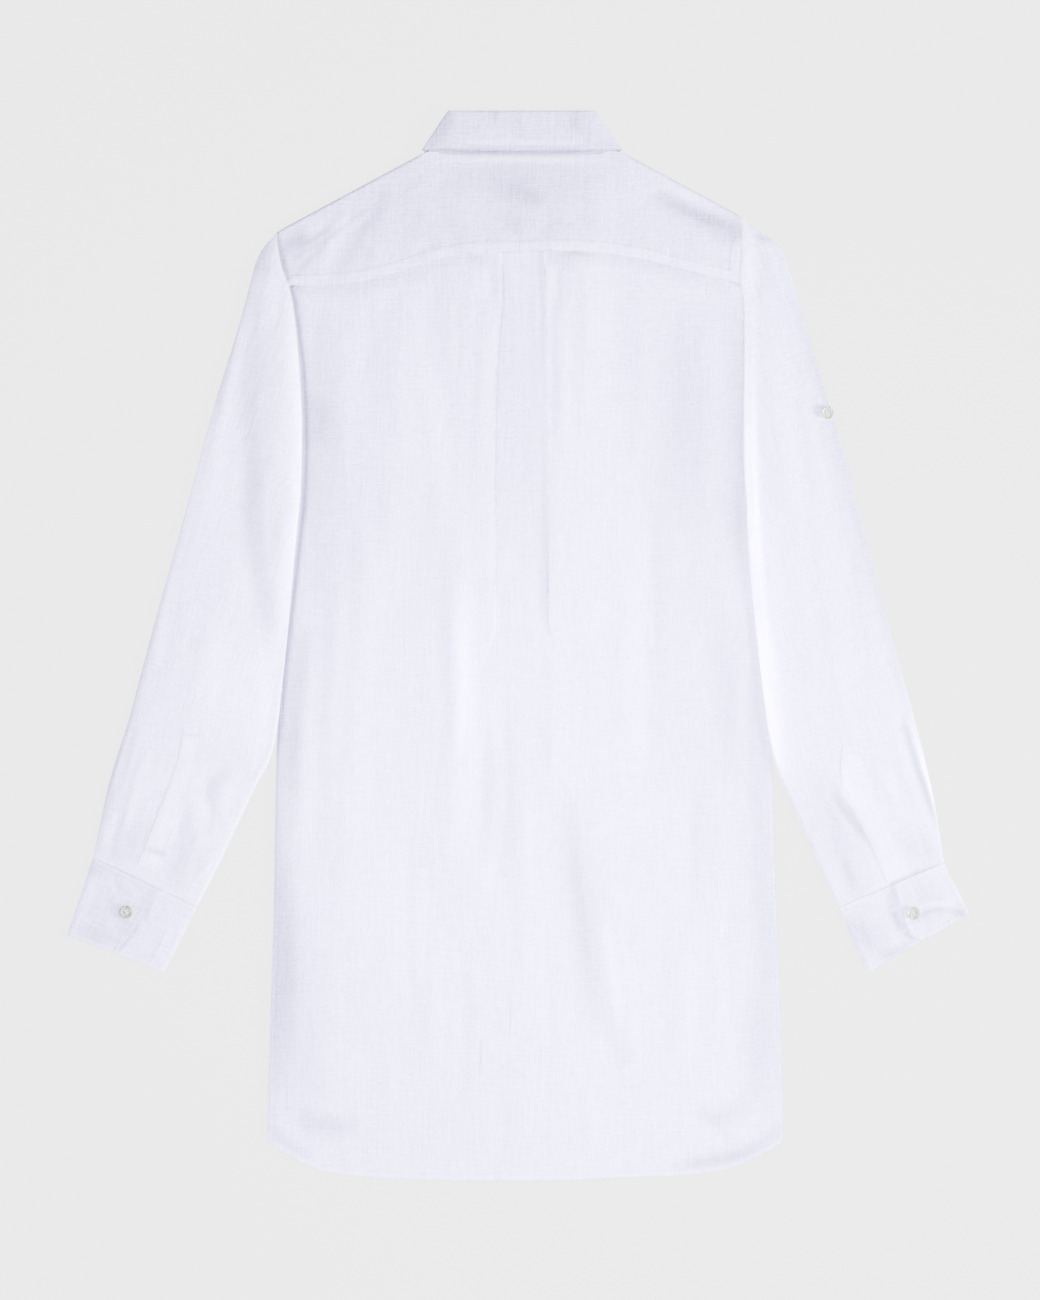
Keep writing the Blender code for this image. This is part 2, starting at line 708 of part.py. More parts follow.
def make_cuff(name, corners, overlap_rows):
    """A stiff band wound once round the wrist, its upper end lying over the lower one."""
    seam_out, seam_in, edge_out, edge_in = corners
    stop = curve(overlap_rows)
    step = CUFF_CLOTH + GAP
    bend = CUFF_CLOTH + GAP / 2
    hidden = stop(0) + CUFF_UNDER
    over_start = hidden + 0.1

    def place(share, depth):
        return mix_points(
            mix_points(seam_in, seam_out, share), mix_points(edge_in, edge_out, share), depth
        )

    outer, inner = [], []
    for depth in CUFF_ROWS:
        width = math.dist(place(0, depth), place(1, depth))
        tip = 1.5 * bend / width
        out_row, in_row = [], []

        def add(share, z, outward):
            x, y = place(share, depth)
            out_row.append((x, y, z + (CUFF_CLOTH if outward > 0 else 0)))
            in_row.append((x, y, z + (0 if outward > 0 else CUFF_CLOTH)))

        def add_fold(share, inward, z):
            x, y = place(share, depth)
            out_row.append((x, y, z))
            x, y = place(share + inward * CUFF_CLOTH / width, depth)
            in_row.append((x, y, z))

        for share in (hidden, stop(0) * 0.75, stop(0) * 0.35, tip):
            add(share, step, 1)
        add_fold(0, 1, bend)
        for share in (tip, 0.3, 0.6, 1 - tip):
            add(share, 0, -1)
        add_fold(1, -1, bend)
        add(1 - tip, step, 1)
        add(mix(over_start, 1, 0.5), step, 1)
        add(over_start, 1.3 * step, 1)
        for k in range(4):
            add(mix(hidden + 0.02, stop(depth), k / 3), 2 * step, 1)
        outer.append(out_row)
        inner.append(in_row)
    return cloth(name, outer, inner)


def mirrored(row):
    """A collar section on the right of the centre, for one on the left."""
    fold_x, fold_y, edge_x, edge_y = row
    return 2 * COLLAR_CENTRE - fold_x, fold_y, 2 * COLLAR_CENTRE - edge_x, edge_y


def make_collar_band(name, front, side, back, low, high, shares, roll=0.0):
    """A band wound round the neck, with its front part at the low level and its back part at the high one."""
    bend = (high + CLOTH - low) / 2
    stations = [(row, low, -1, 0.0) for row in front]
    for angle in (0, 45, 90, 135, 180):
        stations.append((side, low, 0, math.radians(angle)))
    stations += [(row, high, 1, 0.0) for row in back]
    middle = mix_points(back[-1], mirrored(back[-1]), 0.5)
    whole = [(-1, *station) for station in stations]
    whole.append((-1, middle, high, 1, 0.0))
    whole += [(1, *station) for station in reversed(stations)]
    outer, inner = [], []
    for hand, row, level, facing, angle in whole:
        fold_x, fold_y, edge_x, edge_y = row if hand < 0 or row is middle else mirrored(row)
        out_row, in_row = [], []
        for share in shares:
            x, y = mix(fold_x, edge_x, share), mix(fold_y, edge_y, share)
            dip = roll * (1 - soft_step(share / 0.05))
            if facing > 0:
                out_row.append((x, y, level + CLOTH - dip))
                in_row.append((x, y - dip, level - dip * 0.4))
            elif facing < 0:
                out_row.append((x, y, level))
                in_row.append((x, y, level + CLOTH))
            else:
                across, up = math.sin(angle), math.cos(angle)
                middle_x = x - hand * bend
                wall = bend - CLOTH
                out_row.append((middle_x + hand * bend * across, y, low + bend - bend * up))
                in_row.append((middle_x + hand * wall * across, y, low + bend - wall * up))
        outer.append(out_row)
        inner.append(in_row)
    return cloth(name, outer, inner)


def button_disc(thick, sides, dished):
    """A turned disc, with a raised rim where it is dished."""
    rim = ((BUTTON_RADIUS * 0.62, thick * 0.68), (BUTTON_RADIUS * 0.8, thick)) if dished else ()
    profile = (
        (0.0, rim[0][1] if dished else thick),
        *rim,
        (BUTTON_RADIUS * 0.93, thick * 0.95),
        (BUTTON_RADIUS, thick * 0.5),
        (BUTTON_RADIUS * 0.86, 0.0),
        (0.0, 0.0),
    )
    bm = bmesh.new()
    points = [bm.verts.new((r * MM, 0, z * MM)) for r, z in profile]
    edges = [bm.edges.new(pair) for pair in zip(points, points[1:])]
    bmesh.ops.spin(
        bm, geom=points + edges, cent=(0, 0, 0), axis=(0, 0, 1), angle=math.tau,
        steps=sides, use_merge=False,
    )
    bmesh.ops.remove_doubles(bm, verts=bm.verts, dist=0.00001)
    bmesh.ops.recalc_face_normals(bm, faces=bm.faces)
    return bm


def make_button(name, centre, thick=BUTTON_THICKNESS, sides=BUTTON_SIDES, holes=True, tilt=0.0):
    """A button on its seat; centre is its underside's middle, tilt its turn about Y in degrees."""
    piece = new_object(name, button_disc(thick, sides, holes), SHELL)
    if holes:
        for k in range(4):
            angle = math.radians(45 + 90 * k)
            bm = bmesh.new()
            bmesh.ops.create_cone(
                bm, cap_ends=True, segments=HOLE_SIDES, radius1=BUTTON_HOLE_RADIUS * MM,
                radius2=BUTTON_HOLE_RADIUS * MM, depth=4 * thick * MM,
            )
            cutter = new_object(f"{name}_cutter_{k}", bm, SHELL)
            cutter.location = (
                BUTTON_HOLE_SPREAD * MM * math.cos(angle), BUTTON_HOLE_SPREAD * MM * math.sin(angle), 0
            )
            cutter.parent = piece
            cutter.hide_render = True
            cutter.display_type = "WIRE"
            hole = piece.modifiers.new(f"hole_{k}", "BOOLEAN")
            hole.operation = "DIFFERENCE"
            hole.object = cutter
    piece.location = [value * MM for value in centre]
    piece.rotation_euler.y = math.radians(tilt)
    return piece


def main():
    for thing in list(bpy.data.objects):
        bpy.data.objects.remove(thing)
    make_front("front_right", 1, right_front_bottom)
    make_front("front_left", -1, left_front_bottom)
    make_back()
    make_yoke()
    sleeve_left = make_sleeve("sleeve_left", -1, SLEEVE_LEFT, SLEEVE_FOLDS_LEFT)
    sleeve_right = make_sleeve("sleeve_right", 1, SLEEVE_RIGHT, SLEEVE_FOLDS_RIGHT)
    make_placket("sleeve_placket_left", PLACKET_LEFT, sleeve_left)
    make_placket("sleeve_placket_right", PLACKET_RIGHT, sleeve_right)
    make_cuff("cuff_left", CUFF_LEFT, OVERLAP_LEFT)
    make_cuff("cuff_right", CUFF_RIGHT, OVERLAP_RIGHT)
    leaf_shares = (0, 0.04, 0.35, 0.7, 1)
    make_collar_band("collar_leaf", LEAF_FRONT, LEAF_SIDE, LEAF_BACK, 0.0, 3 * LEVEL, leaf_shares, roll=1.0)
    stand_shares = (0, 0.5, 1)
    make_collar_band("collar_stand", STAND_FRONT, STAND_SIDE, STAND_BACK, LEVEL, 2 * LEVEL, stand_shares)
    cuff_top = 3 * (CUFF_CLOTH + GAP)
    make_button("cuff_button_left", (*CUFF_BUTTON_LEFT, cuff_top))
    make_button("cuff_button_right", (*CUFF_BUTTON_RIGHT, cuff_top))
    seat = top_near(surface_of(sleeve_right), *TAB_BUTTON, BUTTON_RADIUS) + GAP
    make_button("tab_button_right", (*TAB_BUTTON, seat), tilt=TAB_BUTTON_TILT)
    for k in range(FRONT_BUTTON_COUNT):
        centre = (CENTRE, FRONT_BUTTON_TOP - FRONT_BUTTON_STEP * k, 0.0)
        make_button(f"front_button_{k + 1}", centre, FRONT_BUTTON_THICKNESS, FRONT_BUTTON_SIDES, holes=False)
    bpy.context.view_layer.update()


main()
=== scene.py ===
"""A linen shirt dress laid flat on its front: its cloth, sewing and buttons on a plain studio floor.

The collar points to +Y and the wearer's right is at +X. The tables are in millimetres.
"""

import math

import bmesh
import bpy
import numpy as np
from bpy.props import FloatProperty, FloatVectorProperty, PointerProperty
from mathutils import Matrix, Vector, noise
from mathutils.bvhtree import BVHTree
from mathutils.kdtree import KDTree


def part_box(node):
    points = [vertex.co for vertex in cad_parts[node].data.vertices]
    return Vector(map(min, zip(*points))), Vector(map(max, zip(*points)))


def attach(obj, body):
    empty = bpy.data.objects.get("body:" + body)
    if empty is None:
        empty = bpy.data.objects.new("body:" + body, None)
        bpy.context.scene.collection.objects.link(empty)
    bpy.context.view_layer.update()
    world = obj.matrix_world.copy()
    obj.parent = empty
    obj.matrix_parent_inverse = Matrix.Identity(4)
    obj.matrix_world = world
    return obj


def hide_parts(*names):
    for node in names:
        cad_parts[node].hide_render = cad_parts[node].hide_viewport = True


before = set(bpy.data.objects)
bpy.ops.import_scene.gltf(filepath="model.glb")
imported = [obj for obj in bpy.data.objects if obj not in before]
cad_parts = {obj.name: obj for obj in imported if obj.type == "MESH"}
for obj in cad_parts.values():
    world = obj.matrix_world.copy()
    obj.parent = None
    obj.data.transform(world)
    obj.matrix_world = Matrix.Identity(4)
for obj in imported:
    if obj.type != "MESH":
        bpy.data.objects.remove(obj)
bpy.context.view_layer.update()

bl_info = {
    "name": "Linen Shirt Dress",
    "version": (1, 0, 0),
    "blender": (4, 5, 0),
    "location": "3D View > Sidebar > Dress",
    "description": "Lays out a linen shirt dress with its creases, sewing and shell buttons",
    "category": "Object",
}

MM = 0.001
FAR_AWAY = 999.0
FRONT_NODES = ["front_left", "front_right"]
PLACKET_SUNK = 0.45
FRONT_CENTRE = 6.0
NECK_CENTRE = 3.75

# y and x in turn: the pleat's two folded edges, and the back's left side where the sleeve meets it
PLEAT_LEFT = (
    30, -19.6, 67, -19.1, 142, -19.5, 185, -19.1, 237, -17.8, 278, -14.8, 304, -12.7, 340, -13.9,
)
LEFT_SIDE = (
    -440, -215, -345, -211, -260, -208, -170, -208, -96, -207.5, -62, -204.5, -20, -200.5, 30, -194.6, 76,
    -189.4, 115, -184.9, 147, -182.8, 178, -182.4, 209, -183, 240, -185, 272, -188.9, 297, -192.4, 314,
    -198, 340, -206,
)
PLEAT_RIGHT = (
    30, 25.2, 56, 24.8, 142, 25.2, 185, 26.2, 228, 25.6, 271, 23.9, 304, 23, 340, 21.9,
)

# Creases: width on the left and on the right of the run, height, then x and y of the run's points in turn
BACK_CREASES = (
    (10, 13, 0.7, -36, 322, -37, 250, -33, 160), (9, 6, -0.7, -25, 336, -24, 318, -23, 290),
    (6, 10, -0.8, 31, 336, 33, 316, 32, 286), (12, 7, 0.8, 39, 318, 36, 240, 40, 150),
    (5, 5, 0.35, -16, 330, -15, 300, -15, 250), (5, 5, 0.35, 17, 330, 17, 290, 19, 230),
    (5, 7, 0.6, -58, 326, -60, 280, -56, 214), (7, 5, -0.5, -75, 318, -77, 260, -73, 190),
    (7, 9, 0.6, -100, 300, -103, 230, -98, 150), (6, 6, -0.5, -128, 296, -131, 236, -127, 180),
    (8, 6, 0.5, -150, 280, -153, 210, -149, 120), (6, 7, 0.6, 58, 330, 61, 280, 57, 200),
    (6, 6, -0.5, 82, 326, 84, 270, 81, 210), (8, 6, 0.6, 102, 312, 106, 240, 101, 160),
    (7, 7, -0.5, 132, 300, 135, 230, 131, 170), (9, 7, 0.6, 160, 290, 163, 200, 158, 120),
    (8, 15, 1.3, -52, 150, -50, 60, -44, -60, -46, -182), (10, 6, -0.9, -62, 120, -66, 20, -60, -90),
    (9, 6, -1.0, -13, -40, -14, -110, -20, -214), (13, 9, 1.0, -128, 150, -136, 30, -146, -100, -150, -210),
    (7, 9, -0.8, -164, 60, -170, -60, -168, -170), (7, 10, -0.4, -97, -140, -93, -220, -90, -310),
    (8, 12, 0.6, -78, -210, -74, -290, -76, -370), (12, 14, -0.8, 46, -120, 54, -200, 68, -290, 78, -360),
    (6, 14, 0.8, 78, -200, 92, -290, 100, -370), (7, 8, -0.9, 112, 140, 114, 30, 112, -115),
    (10, 8, 0.6, 88, 120, 90, 10, 94, -110), (6, 7, -0.4, 150, -110, 148, -170, 152, -230),
    (12, 16, 0.6, 135, -235, 140, -300, 134, -380), (7, 7, 0.5, 28, 20, 31, -60, 27, -150),
    (6, 8, 0.4, 4, -120, 7, -200, 2, -300), (6, 6, -0.4, 22, -250, 26, -310, 20, -390),
    (5, 6, -0.4, -50, -260, -46, -330, -52, -400), (4, 5, -0.6, -206, -402, -180, -412, -140, -420),
    (4, 4, 0.5, -200, -391, -176, -398, -150, -402), (4, 5, -0.5, 146, -405, 166, -414, 184, -428),
    (4, 4, 0.45, 158, -398, 180, -408, 204, -412),
    (12, 17, 0.8, -184, 190, -188, 60, -191, -60, -194, -200, -197, -420),
    (10, 7, -0.6, 196, -20, 204, -150, 208, -300), (5, 6, 0.5, 190, 60, 192, -10, 188, -90),
    (4, 4, -0.4, 176, -196, 180, -240, 178, -282), (4, 4, 0.4, 168, -262, 172, -300, 166, -344),
    (5, 5, 0.35, -118, -330, -112, -372, -116, -416), (5, 5, 0.35, 58, -380, 62, -414, 60, -444),
    (5, 5, -0.35, -16, -390, -14, -420, -16, -448), (8, 4, -0.6, -172, 300, -178, 262, -180, 205),
    (4, 8, -0.5, 184, 300, 186, 262, 186, 200),
)
YOKE_CREASES = (
    (7, 10, -0.7, -128, 382, -140, 356, -150, 335, -163, 312), (6, 6, 0.7, -146, 378, -158, 352, -172, 326),
    (6, 7, -1.0, -160, 362, -178, 350, -194, 334), (4, 4, 0.6, -168, 352, -182, 340, -196, 326),
    (4, 4, -0.7, -176, 342, -186, 330, -194, 317), (3, 4, -0.6, -182, 354, -192, 349, -202, 346),
    (9, 6, -1.2, 116, 391, 140, 377, 164, 370, 190, 364), (6, 10, 0.7, 112, 402, 140, 390, 168, 376),
    (6, 6, 0.4, 150, 360, 168, 346, 188, 336), (5, 5, -0.4, 160, 342, 172, 332, 186, 322),
    (14, 14, 0.5, -60, 400, -50, 372, -54, 346), (10, 8, -0.5, -92, 392, -96, 366, -104, 336),
    (12, 12, 0.45, 62, 402, 70, 372, 66, 346), (10, 10, -0.35, 30, 404, 26, 380, 30, 352),
    (5, 5, 0.3, -118, 350, -121, 338, -122, 326), (5, 5, 0.3, -64, 352, -66, 342, -67, 334),
    (5, 5, 0.3, 98, 350, 100, 340, 101, 331), (4, 5, -0.35, -84, 346, -85, 338, -86, 330),
    (4, 5, -0.35, 128, 342, 130, 333, 130, 325),
)
SLEEVE_LEFT_CREASES = (
    (6, 9, -0.55, -231, 185, -232, 120, -228, 66, -220, 20, -217, -34),
    (6, 5, 0.7, -218, 160, -219, 90, -211, 40),
    (4, 7, -0.8, -248, -104, -266, -116, -265, -142, -271, -166),
    (5, 4, 0.7, -240, -108, -254, -124, -256, -150), (3, 4, -0.8, -283, -134, -289, -150, -293, -170),
    (9, 7, 0.6, -246, 250, -262, 170, -274, 96), (7, 8, -0.5, -226, 300, -238, 236, -246, 190),
    (8, 6, -0.5, -290, 66, -302, 8, -316, -50), (7, 7, 0.5, -262, 30, -276, -30, -290, -84),
    (5, 6, -0.4, -246, 20, -256, -40, -264, -86), (4, 6, -0.6, -330, -60, -338, -96, -348, -132),
    (5, 4, 0.6, -322, -96, -332, -128, -342, -160), (3, 4, -0.5, -340, -140, -346, -158, -352, -176),
    (3, 3, 0.4, -262, -176, -268, -188, -276, -206), (3, 3, -0.4, -270, -172, -276, -186, -284, -204),
    (5, 5, 0.4, -214, 320, -220, 292, -224, 262), (4, 5, -0.5, -200, 326, -204, 300, -206, 268),
    (13, 12, 1.0, -203, 310, -205, 200, -211, 100, -218, 20, -228, -50),
)
SLEEVE_RIGHT_CREASES = (
    (4, 5, -0.5, 202, 356, 208, 334, 214, 304), (4, 4, 0.5, 208, 360, 216, 338, 220, 318),
    (3, 4, -0.7, 214, 354, 222, 340, 230, 330), (3, 3, -0.5, 198, 340, 203, 318, 206, 296),
    (3, 17, 1.1, 199, 330, 200, 200, 204, 100, 213, 10, 226, -66), (8, 8, 0.6, 240, 240, 252, 170, 262, 96),
    (7, 8, -0.5, 262, 262, 276, 190, 290, 130), (7, 7, -0.5, 246, 100, 256, 30, 270, -40),
    (8, 7, 0.6, 292, 90, 302, 20, 318, -50), (6, 6, 0.4, 262, 20, 276, -40, 286, -84),
    (2.2, 6, -0.9, 328, -56, 337, -84, 347, -114, 357, -146, 364, -166),
    (7, 3, 0.7, 334, -54, 344, -86, 353, -116, 362, -148),
    (5, 3, -1.4, 266, -118, 277, -138, 292, -158, 303, -174), (5, 3, 0.9, 278, -112, 284, -128, 294, -142),
    (4, 4, -0.5, 258, -130, 268, -150, 276, -168), (4, 4, 0.45, 306, -100, 320, -130, 330, -154),
    (4, 4, -0.4, 318, -96, 330, -124, 340, -150), (4, 3, 0.45, 284, -186, 290, -200, 296, -214),
    (3, 3, -0.5, 342, -158, 348, -172, 352, -184), (3, 3, -0.4, 272, -180, 280, -196, 286, -210),
)
FRONT_CREASES = (
    (12, 12, 0.6, -150, 250, -140, 120, -150, -20), (10, 10, 0.5, -90, 60, -84, -80, -92, -230),
    (12, 9, 0.6, -160, -120, -154, -260, -164, -390), (9, 12, 0.4, -60, -220, -66, -330, -60, -430),
    (12, 12, 0.6, 150, 250, 142, 120, 154, -20), (10, 10, 0.5, 96, 60, 88, -80, 98, -230),
    (12, 9, 0.6, 176, -120, 166, -260, 176, -390), (9, 12, 0.4, 66, -220, 74, -330, 66, -430),
)
CUFF_LEFT_CREASES = (
    (3, 4, -0.35, -372, -214, -352, -222, -334, -246), (3, 3, 0.3, -300, -236, -306, -256, -316, -270),
    (3, 4, -0.3, -360, -250, -344, -258, -326, -262), (3, 3, -0.3, -350, -196, -346, -206, -344, -216),
)
CUFF_RIGHT_CREASES = (
    (3, 5, -0.55, 330, -240, 342, -233, 359, -227, 374, -228, 387, -230),
    (4, 3, 0.35, 346, -226, 360, -220, 376, -221), (3, 4, -0.35, 300, -262, 312, -268, 326, -268),
    (3, 3, 0.3, 296, -240, 304, -256, 308, -270), (3, 3, -0.3, 338, -204, 342, -214, 344, -224),
)
COLLAR_CREASES = (
    (6, 5, -0.4, -66, 450, -60, 440, -56, 428), (8, 10, 0.35, -30, 454, -26, 444, -28, 432),
    (6, 9, -0.3, 10, 452, 14, 442, 10, 430), (8, 8, 0.3, 50, 454, 54, 444, 52, 432),
    (5, 6, -0.35, 66, 448, 72, 438, 76, 430),
)
NONE = ()

# Painted light and shade of the cloth: lighter places stand for light and darker ones for shadow and shade,
# written as the creases are, with doublings in place of heights
# Back: painted shadow under the yoke seam, in the pleat and beside its top, along the sides and the hem and
# in troughs, and painted light on raised folds
BACK_PAINTED_SHADING = (
    (8, 9, -0.4, -196, 309, -140, 311, -98, 321, -60, 334, -26, 338),
    (8, 9, -0.4, 36, 337, 72, 337, 105, 332, 145, 322, 192, 308),
    (6, 7, -0.45, -44, 330, -30, 331.5, -17, 331), (6, 8, -0.45, 22, 332, 34, 331.5, 52, 329),
    (11, 11, -0.22, -6, 334, -7, 200, -8, 70), (11, 11, -0.22, 14, 334, 15, 200, 15, 70),
    (5, 5, 0.4, 24, 320, 25, 240, 24, 120), (4, 4, -0.9, 24, 340, 40, 339, 66, 337),
    (4, 4, -0.6, -193, 318, -189, 312, -186, 302), (10, 9, 0.35, -70, 310, -69, 200, -60, 110, -52, 30),
    (7, 7, 0.85, -53, 60, -50, 10, -48, -50, -49, -100), (9, 9, 0.35, -49, -40, -50, -120, -53, -190),
    (9, 10, 0.45, -144, 80, -150, -20, -157, -90, -158, -180),
    (7, 7, -0.25, -119, 170, -119, 130, -117, 70), (6, 6, 0.4, -85, -185, -84, -250, -82, -310),
    (8, 12, -0.75, 42, -120, 52, -210, 62, -290, 70, -345), (6, 6, 0.6, 74, -220, 82, -280, 92, -345),
    (6, 6, -0.5, -24, -70, -24, -120, -28, -190), (9, 9, -0.5, -176, 218, -170, 195, -176, 168),
    (14, 10, -0.3, -172, 290, -170, 160, -176, 40, -188, -40),
    (10, 8, -0.6, -200, -180, -199, -260, -202, -330, -206, -390),
    (8, 8, -0.75, -183, 20, -188, -40, -193, -90, -196, -130), (10, 10, -0.3, 168, 50, 177, -40, 182, -120),
    (28, 28, -0.3, 136, 300, 142, 200, 146, 90), (7, 7, -0.4, -190, -70, -192, -130, -196, -200),
    (20, 16, -0.4, -198, -170, -194, -270, -190, -350, -188, -420),
    (9, 9, -0.5, -194, -408, -168, -414, -136, -412), (10, 10, -0.4, 204, -394, 178, -404, 152, -408),
    (12, 12, -0.35, 200, -300, 204, -352, 202, -398),
    (12, 19, -0.5, 195, 30, 204, -60, 210, -150, 214, -260, 219, -350, 219, -440),
    (12, 14, -0.45, 184, 318, 186, 240, 188, 150, 192, 60), (34, 34, -0.14, 150, 300, 156, 0, 166, -300),
    (34, 34, -0.14, -150, 320, -150, 100, -150, -120), (5, 5, -0.5, -214, -414, -196, -431, -176, -440),
    (6, 6, -0.8, 228, -412, 206, -431, 176, -442, 130, -448),
)
# Yoke: painted shade in its creases, along the armholes and under the collar, and painted light just below
# the collar; the darker place at the top middle also stands for the label inside showing through
YOKE_PAINTED_SHADING = (
    (7, 7, -0.25, -132, 384, -140, 362, -152, 340, -160, 318),
    (6, 6, -0.45, -112, 392, -122, 370, -132, 350), (6, 6, -0.3, -92, 398, -100, 374, -106, 350),
    (9, 8, -0.85, -178, 356, -190, 350, -204, 340), (5, 5, -0.4, -178, 344, -192, 328, -198, 314),
    (6, 8, -0.85, 112, 393, 150, 373, 184, 360, 212, 352), (7, 7, -0.4, 160, 352, 184, 350, 206, 344),
    (7, 5, 0.3, 112, 404, 140, 391, 172, 377), (22, 22, -0.25, -62, 402, 0, 398, 66, 402),
    (10, 10, -0.42, -26, 394, 2, 389, 24, 380), (6, 6, -0.4, 4, 387, 14, 384, 26, 383),
    (9, 9, -0.3, -12, 374, -4, 364, -2, 354),
    (2.8, 2.4, -1.5, -213.4, 372, -208.6, 354, -203.6, 334, -199.4, 318, -196, 306),
    (2.0, 2.2, -0.9, 202, 358, 201, 344, 198, 330, 196, 312), (3, 3, 0.35, -80, 416, 0, 418, 86, 416),
)
# Left sleeve: painted shade in its troughs and along its outer edge, and painted light along its inner edge
# by the body
SLEEVE_LEFT_PAINTED_SHADING = (
    (7, 7, -0.42, -218, 352, -231, 314, -241, 280, -256, 228, -268, 188),
    (8, 6, -0.6, -304, 56, -313, 22, -328, -30, -342, -81, -356, -133, -366, -182),
    (9, 9, -0.6, -220, 276, -230, 210, -229, 160, -234, 112, -232, 60),
    (4, 7, 0.5, -198, 300, -190, 240, -187.5, 180, -190, 110, -200, 40, -209, -30),
    (6, 14, 0.55, -211, 20, -216, -50, -222, -114), (14, 10, 0.2, -262, 230, -276, 160, -284, 100),
    (4, 7, -0.35, -248, -106, -264, -118, -265, -144, -271, -168),
    (20, 20, 0.25, -236, 30, -252, -30, -246, -90), (7, 7, 0.4, -262, -124, -268, -150, -276, -176),
    (8, 6, -0.35, -334, -30, -350, -90, -364, -150), (12, 12, -0.35, -316, -150, -336, -172, -356, -188),
    (10, 9, -0.5, -274, -146, -286, -178, -298, -214), (8, 8, -0.5, -212, 352, -218, 336, -222, 312),
)
# Right sleeve: painted light along the armhole, painted shadow of the slit beside the placket, and painted
# shade in its troughs
SLEEVE_RIGHT_PAINTED_SHADING = (
    (7, 7, -0.3, 224, 352, 235, 314, 246, 280, 261, 228, 276, 180),
    (7, 7, -0.3, 292, 124, 305, 74, 318, 22, 332, -30, 346, -81, 352, -104),
    (8, 3, 1.25, 193, 372, 194.5, 220, 197, 150, 201.5, 70, 207.5, 0, 214.5, -60, 226, -120),
    (11, 3, 0.6, 206, 30, 213, -50, 225, -114),
    (3.5, 3.5, -0.9, 268, -124, 279, -140, 291, -157, 303, -174),
    (3, 3, 0.7, 275, -112, 280, -127, 287, -138),
    (1.1, 3.6, -0.85, 330, -62, 342.6, -101, 352, -128.6, 362.4, -160),
    (4.5, 1.1, 0.8, 333.6, -60, 346.4, -100, 356, -128, 366, -158),
    (12, 14, -0.35, 322, -160, 342, -172, 366, -182), (3, 3, -0.7, 202, 353, 212, 350, 222, 345),
    (10, 10, 0.2, 228, 280, 236, 180, 244, 90),
    (14, 18, -0.72, 246, 320, 276, 205, 302, 108, 326, 22, 342, -40),
    (14, 12, -0.45, 250, -100, 266, -144, 284, -190, 304, -250),
)
# Left placket: painted shadow beside the slit and at the top bar, and a painted light strip
PLACKET_LEFT_PAINTED_SHADING = (
    (2.5, 2.5, -0.7, -326, -173, -312, -177, -298, -182),
    (2.5, 2.5, 0.3, -320, -182, -308, -186, -300, -190), (2, 2, -0.5, -288, -76, -280, -77, -272, -77),
)
# Right placket: painted light on its crest and a painted shadow at its top bar
PLACKET_RIGHT_PAINTED_SHADING = (
    (4, 4, 0.5, 279, -104, 280, -126, 288, -142), (1.6, 1.6, -0.35, 282, -92.5, 287, -92, 294, -91.5),
)
# Left cuff: painted shadow along the edge of its overlap and in its troughs
CUFF_LEFT_PAINTED_SHADING = (
    (1.0, 34, -0.3, -305, -190, -308, -198, -313.6, -213.7, -323.2, -236.6, -342, -261.6, -350, -268),
    (1.3, 1.3, -0.6, -308, -198, -313.6, -213.7, -323.2, -236.6, -342, -261.6, -350, -268),
    (8, 8, -0.45, -346, -188, -366, -192, -386, -200), (7, 7, -0.4, -380, -240, -362, -250, -344, -258),
    (6, 6, -0.3, -338, -216, -340, -236, -334, -250),
)
# Right cuff: painted shadow along the edge of its overlap, in its crease and in troughs, and painted light
# beside the crease
CUFF_RIGHT_PAINTED_SHADING = (
    (1.2, 2.0, -1.0, 317, -200, 319.7, -213, 322.6, -228.3, 330, -243.8, 341.7, -253.3, 356, -256),
    (2.2, 3, -0.55, 332, -240, 342, -234, 358, -227, 387, -230),
    (2, 2, 0.4, 338, -229, 356, -221, 376, -224), (14, 14, -0.5, 282, -232, 300, -250, 316, -262),
    (6, 6, -0.5, 374, -224, 380, -230, 388, -238), (6, 6, -0.6, 306, -268, 324, -264, 342, -258),
    (20, 20, -0.2, 330, -214, 350, -220, 366, -206),
)
# Collar: painted shadow along the leaf's lower edge and at its slanted sides, painted shade in its troughs
# and painted light near its lower edge
COLLAR_PAINTED_SHADING = (
    (1.8, 1.6, -1.0, -190, 426.2, -90, 426.2, 0, 426.4, 90, 426.2, 190, 426.2),
    (8, 8, -0.8, -58, 466, -65, 447, -74, 426), (7, 7, -0.4, 44, 462, 53, 446, 62, 430),
    (3, 3, -0.4, -20, 464, -19, 452, -18, 444), (3, 3, -0.4, -3, 458, 1, 446, 3, 432),
    (3, 3, 0.3, -50, 432, 0, 431.5, 60, 432), (3, 3, -0.5, -84, 444, -90, 430, -92, 420),
)
# Stand: painted shadow where the collar leaf hangs over it
COLLAR_BAND_PAINTED_SHADING = (
    (2.6, 3.5, -1.8, -190, 424.4, -90, 425.4, 0, 425.4, 90, 425.4, 190, 424.4),
)

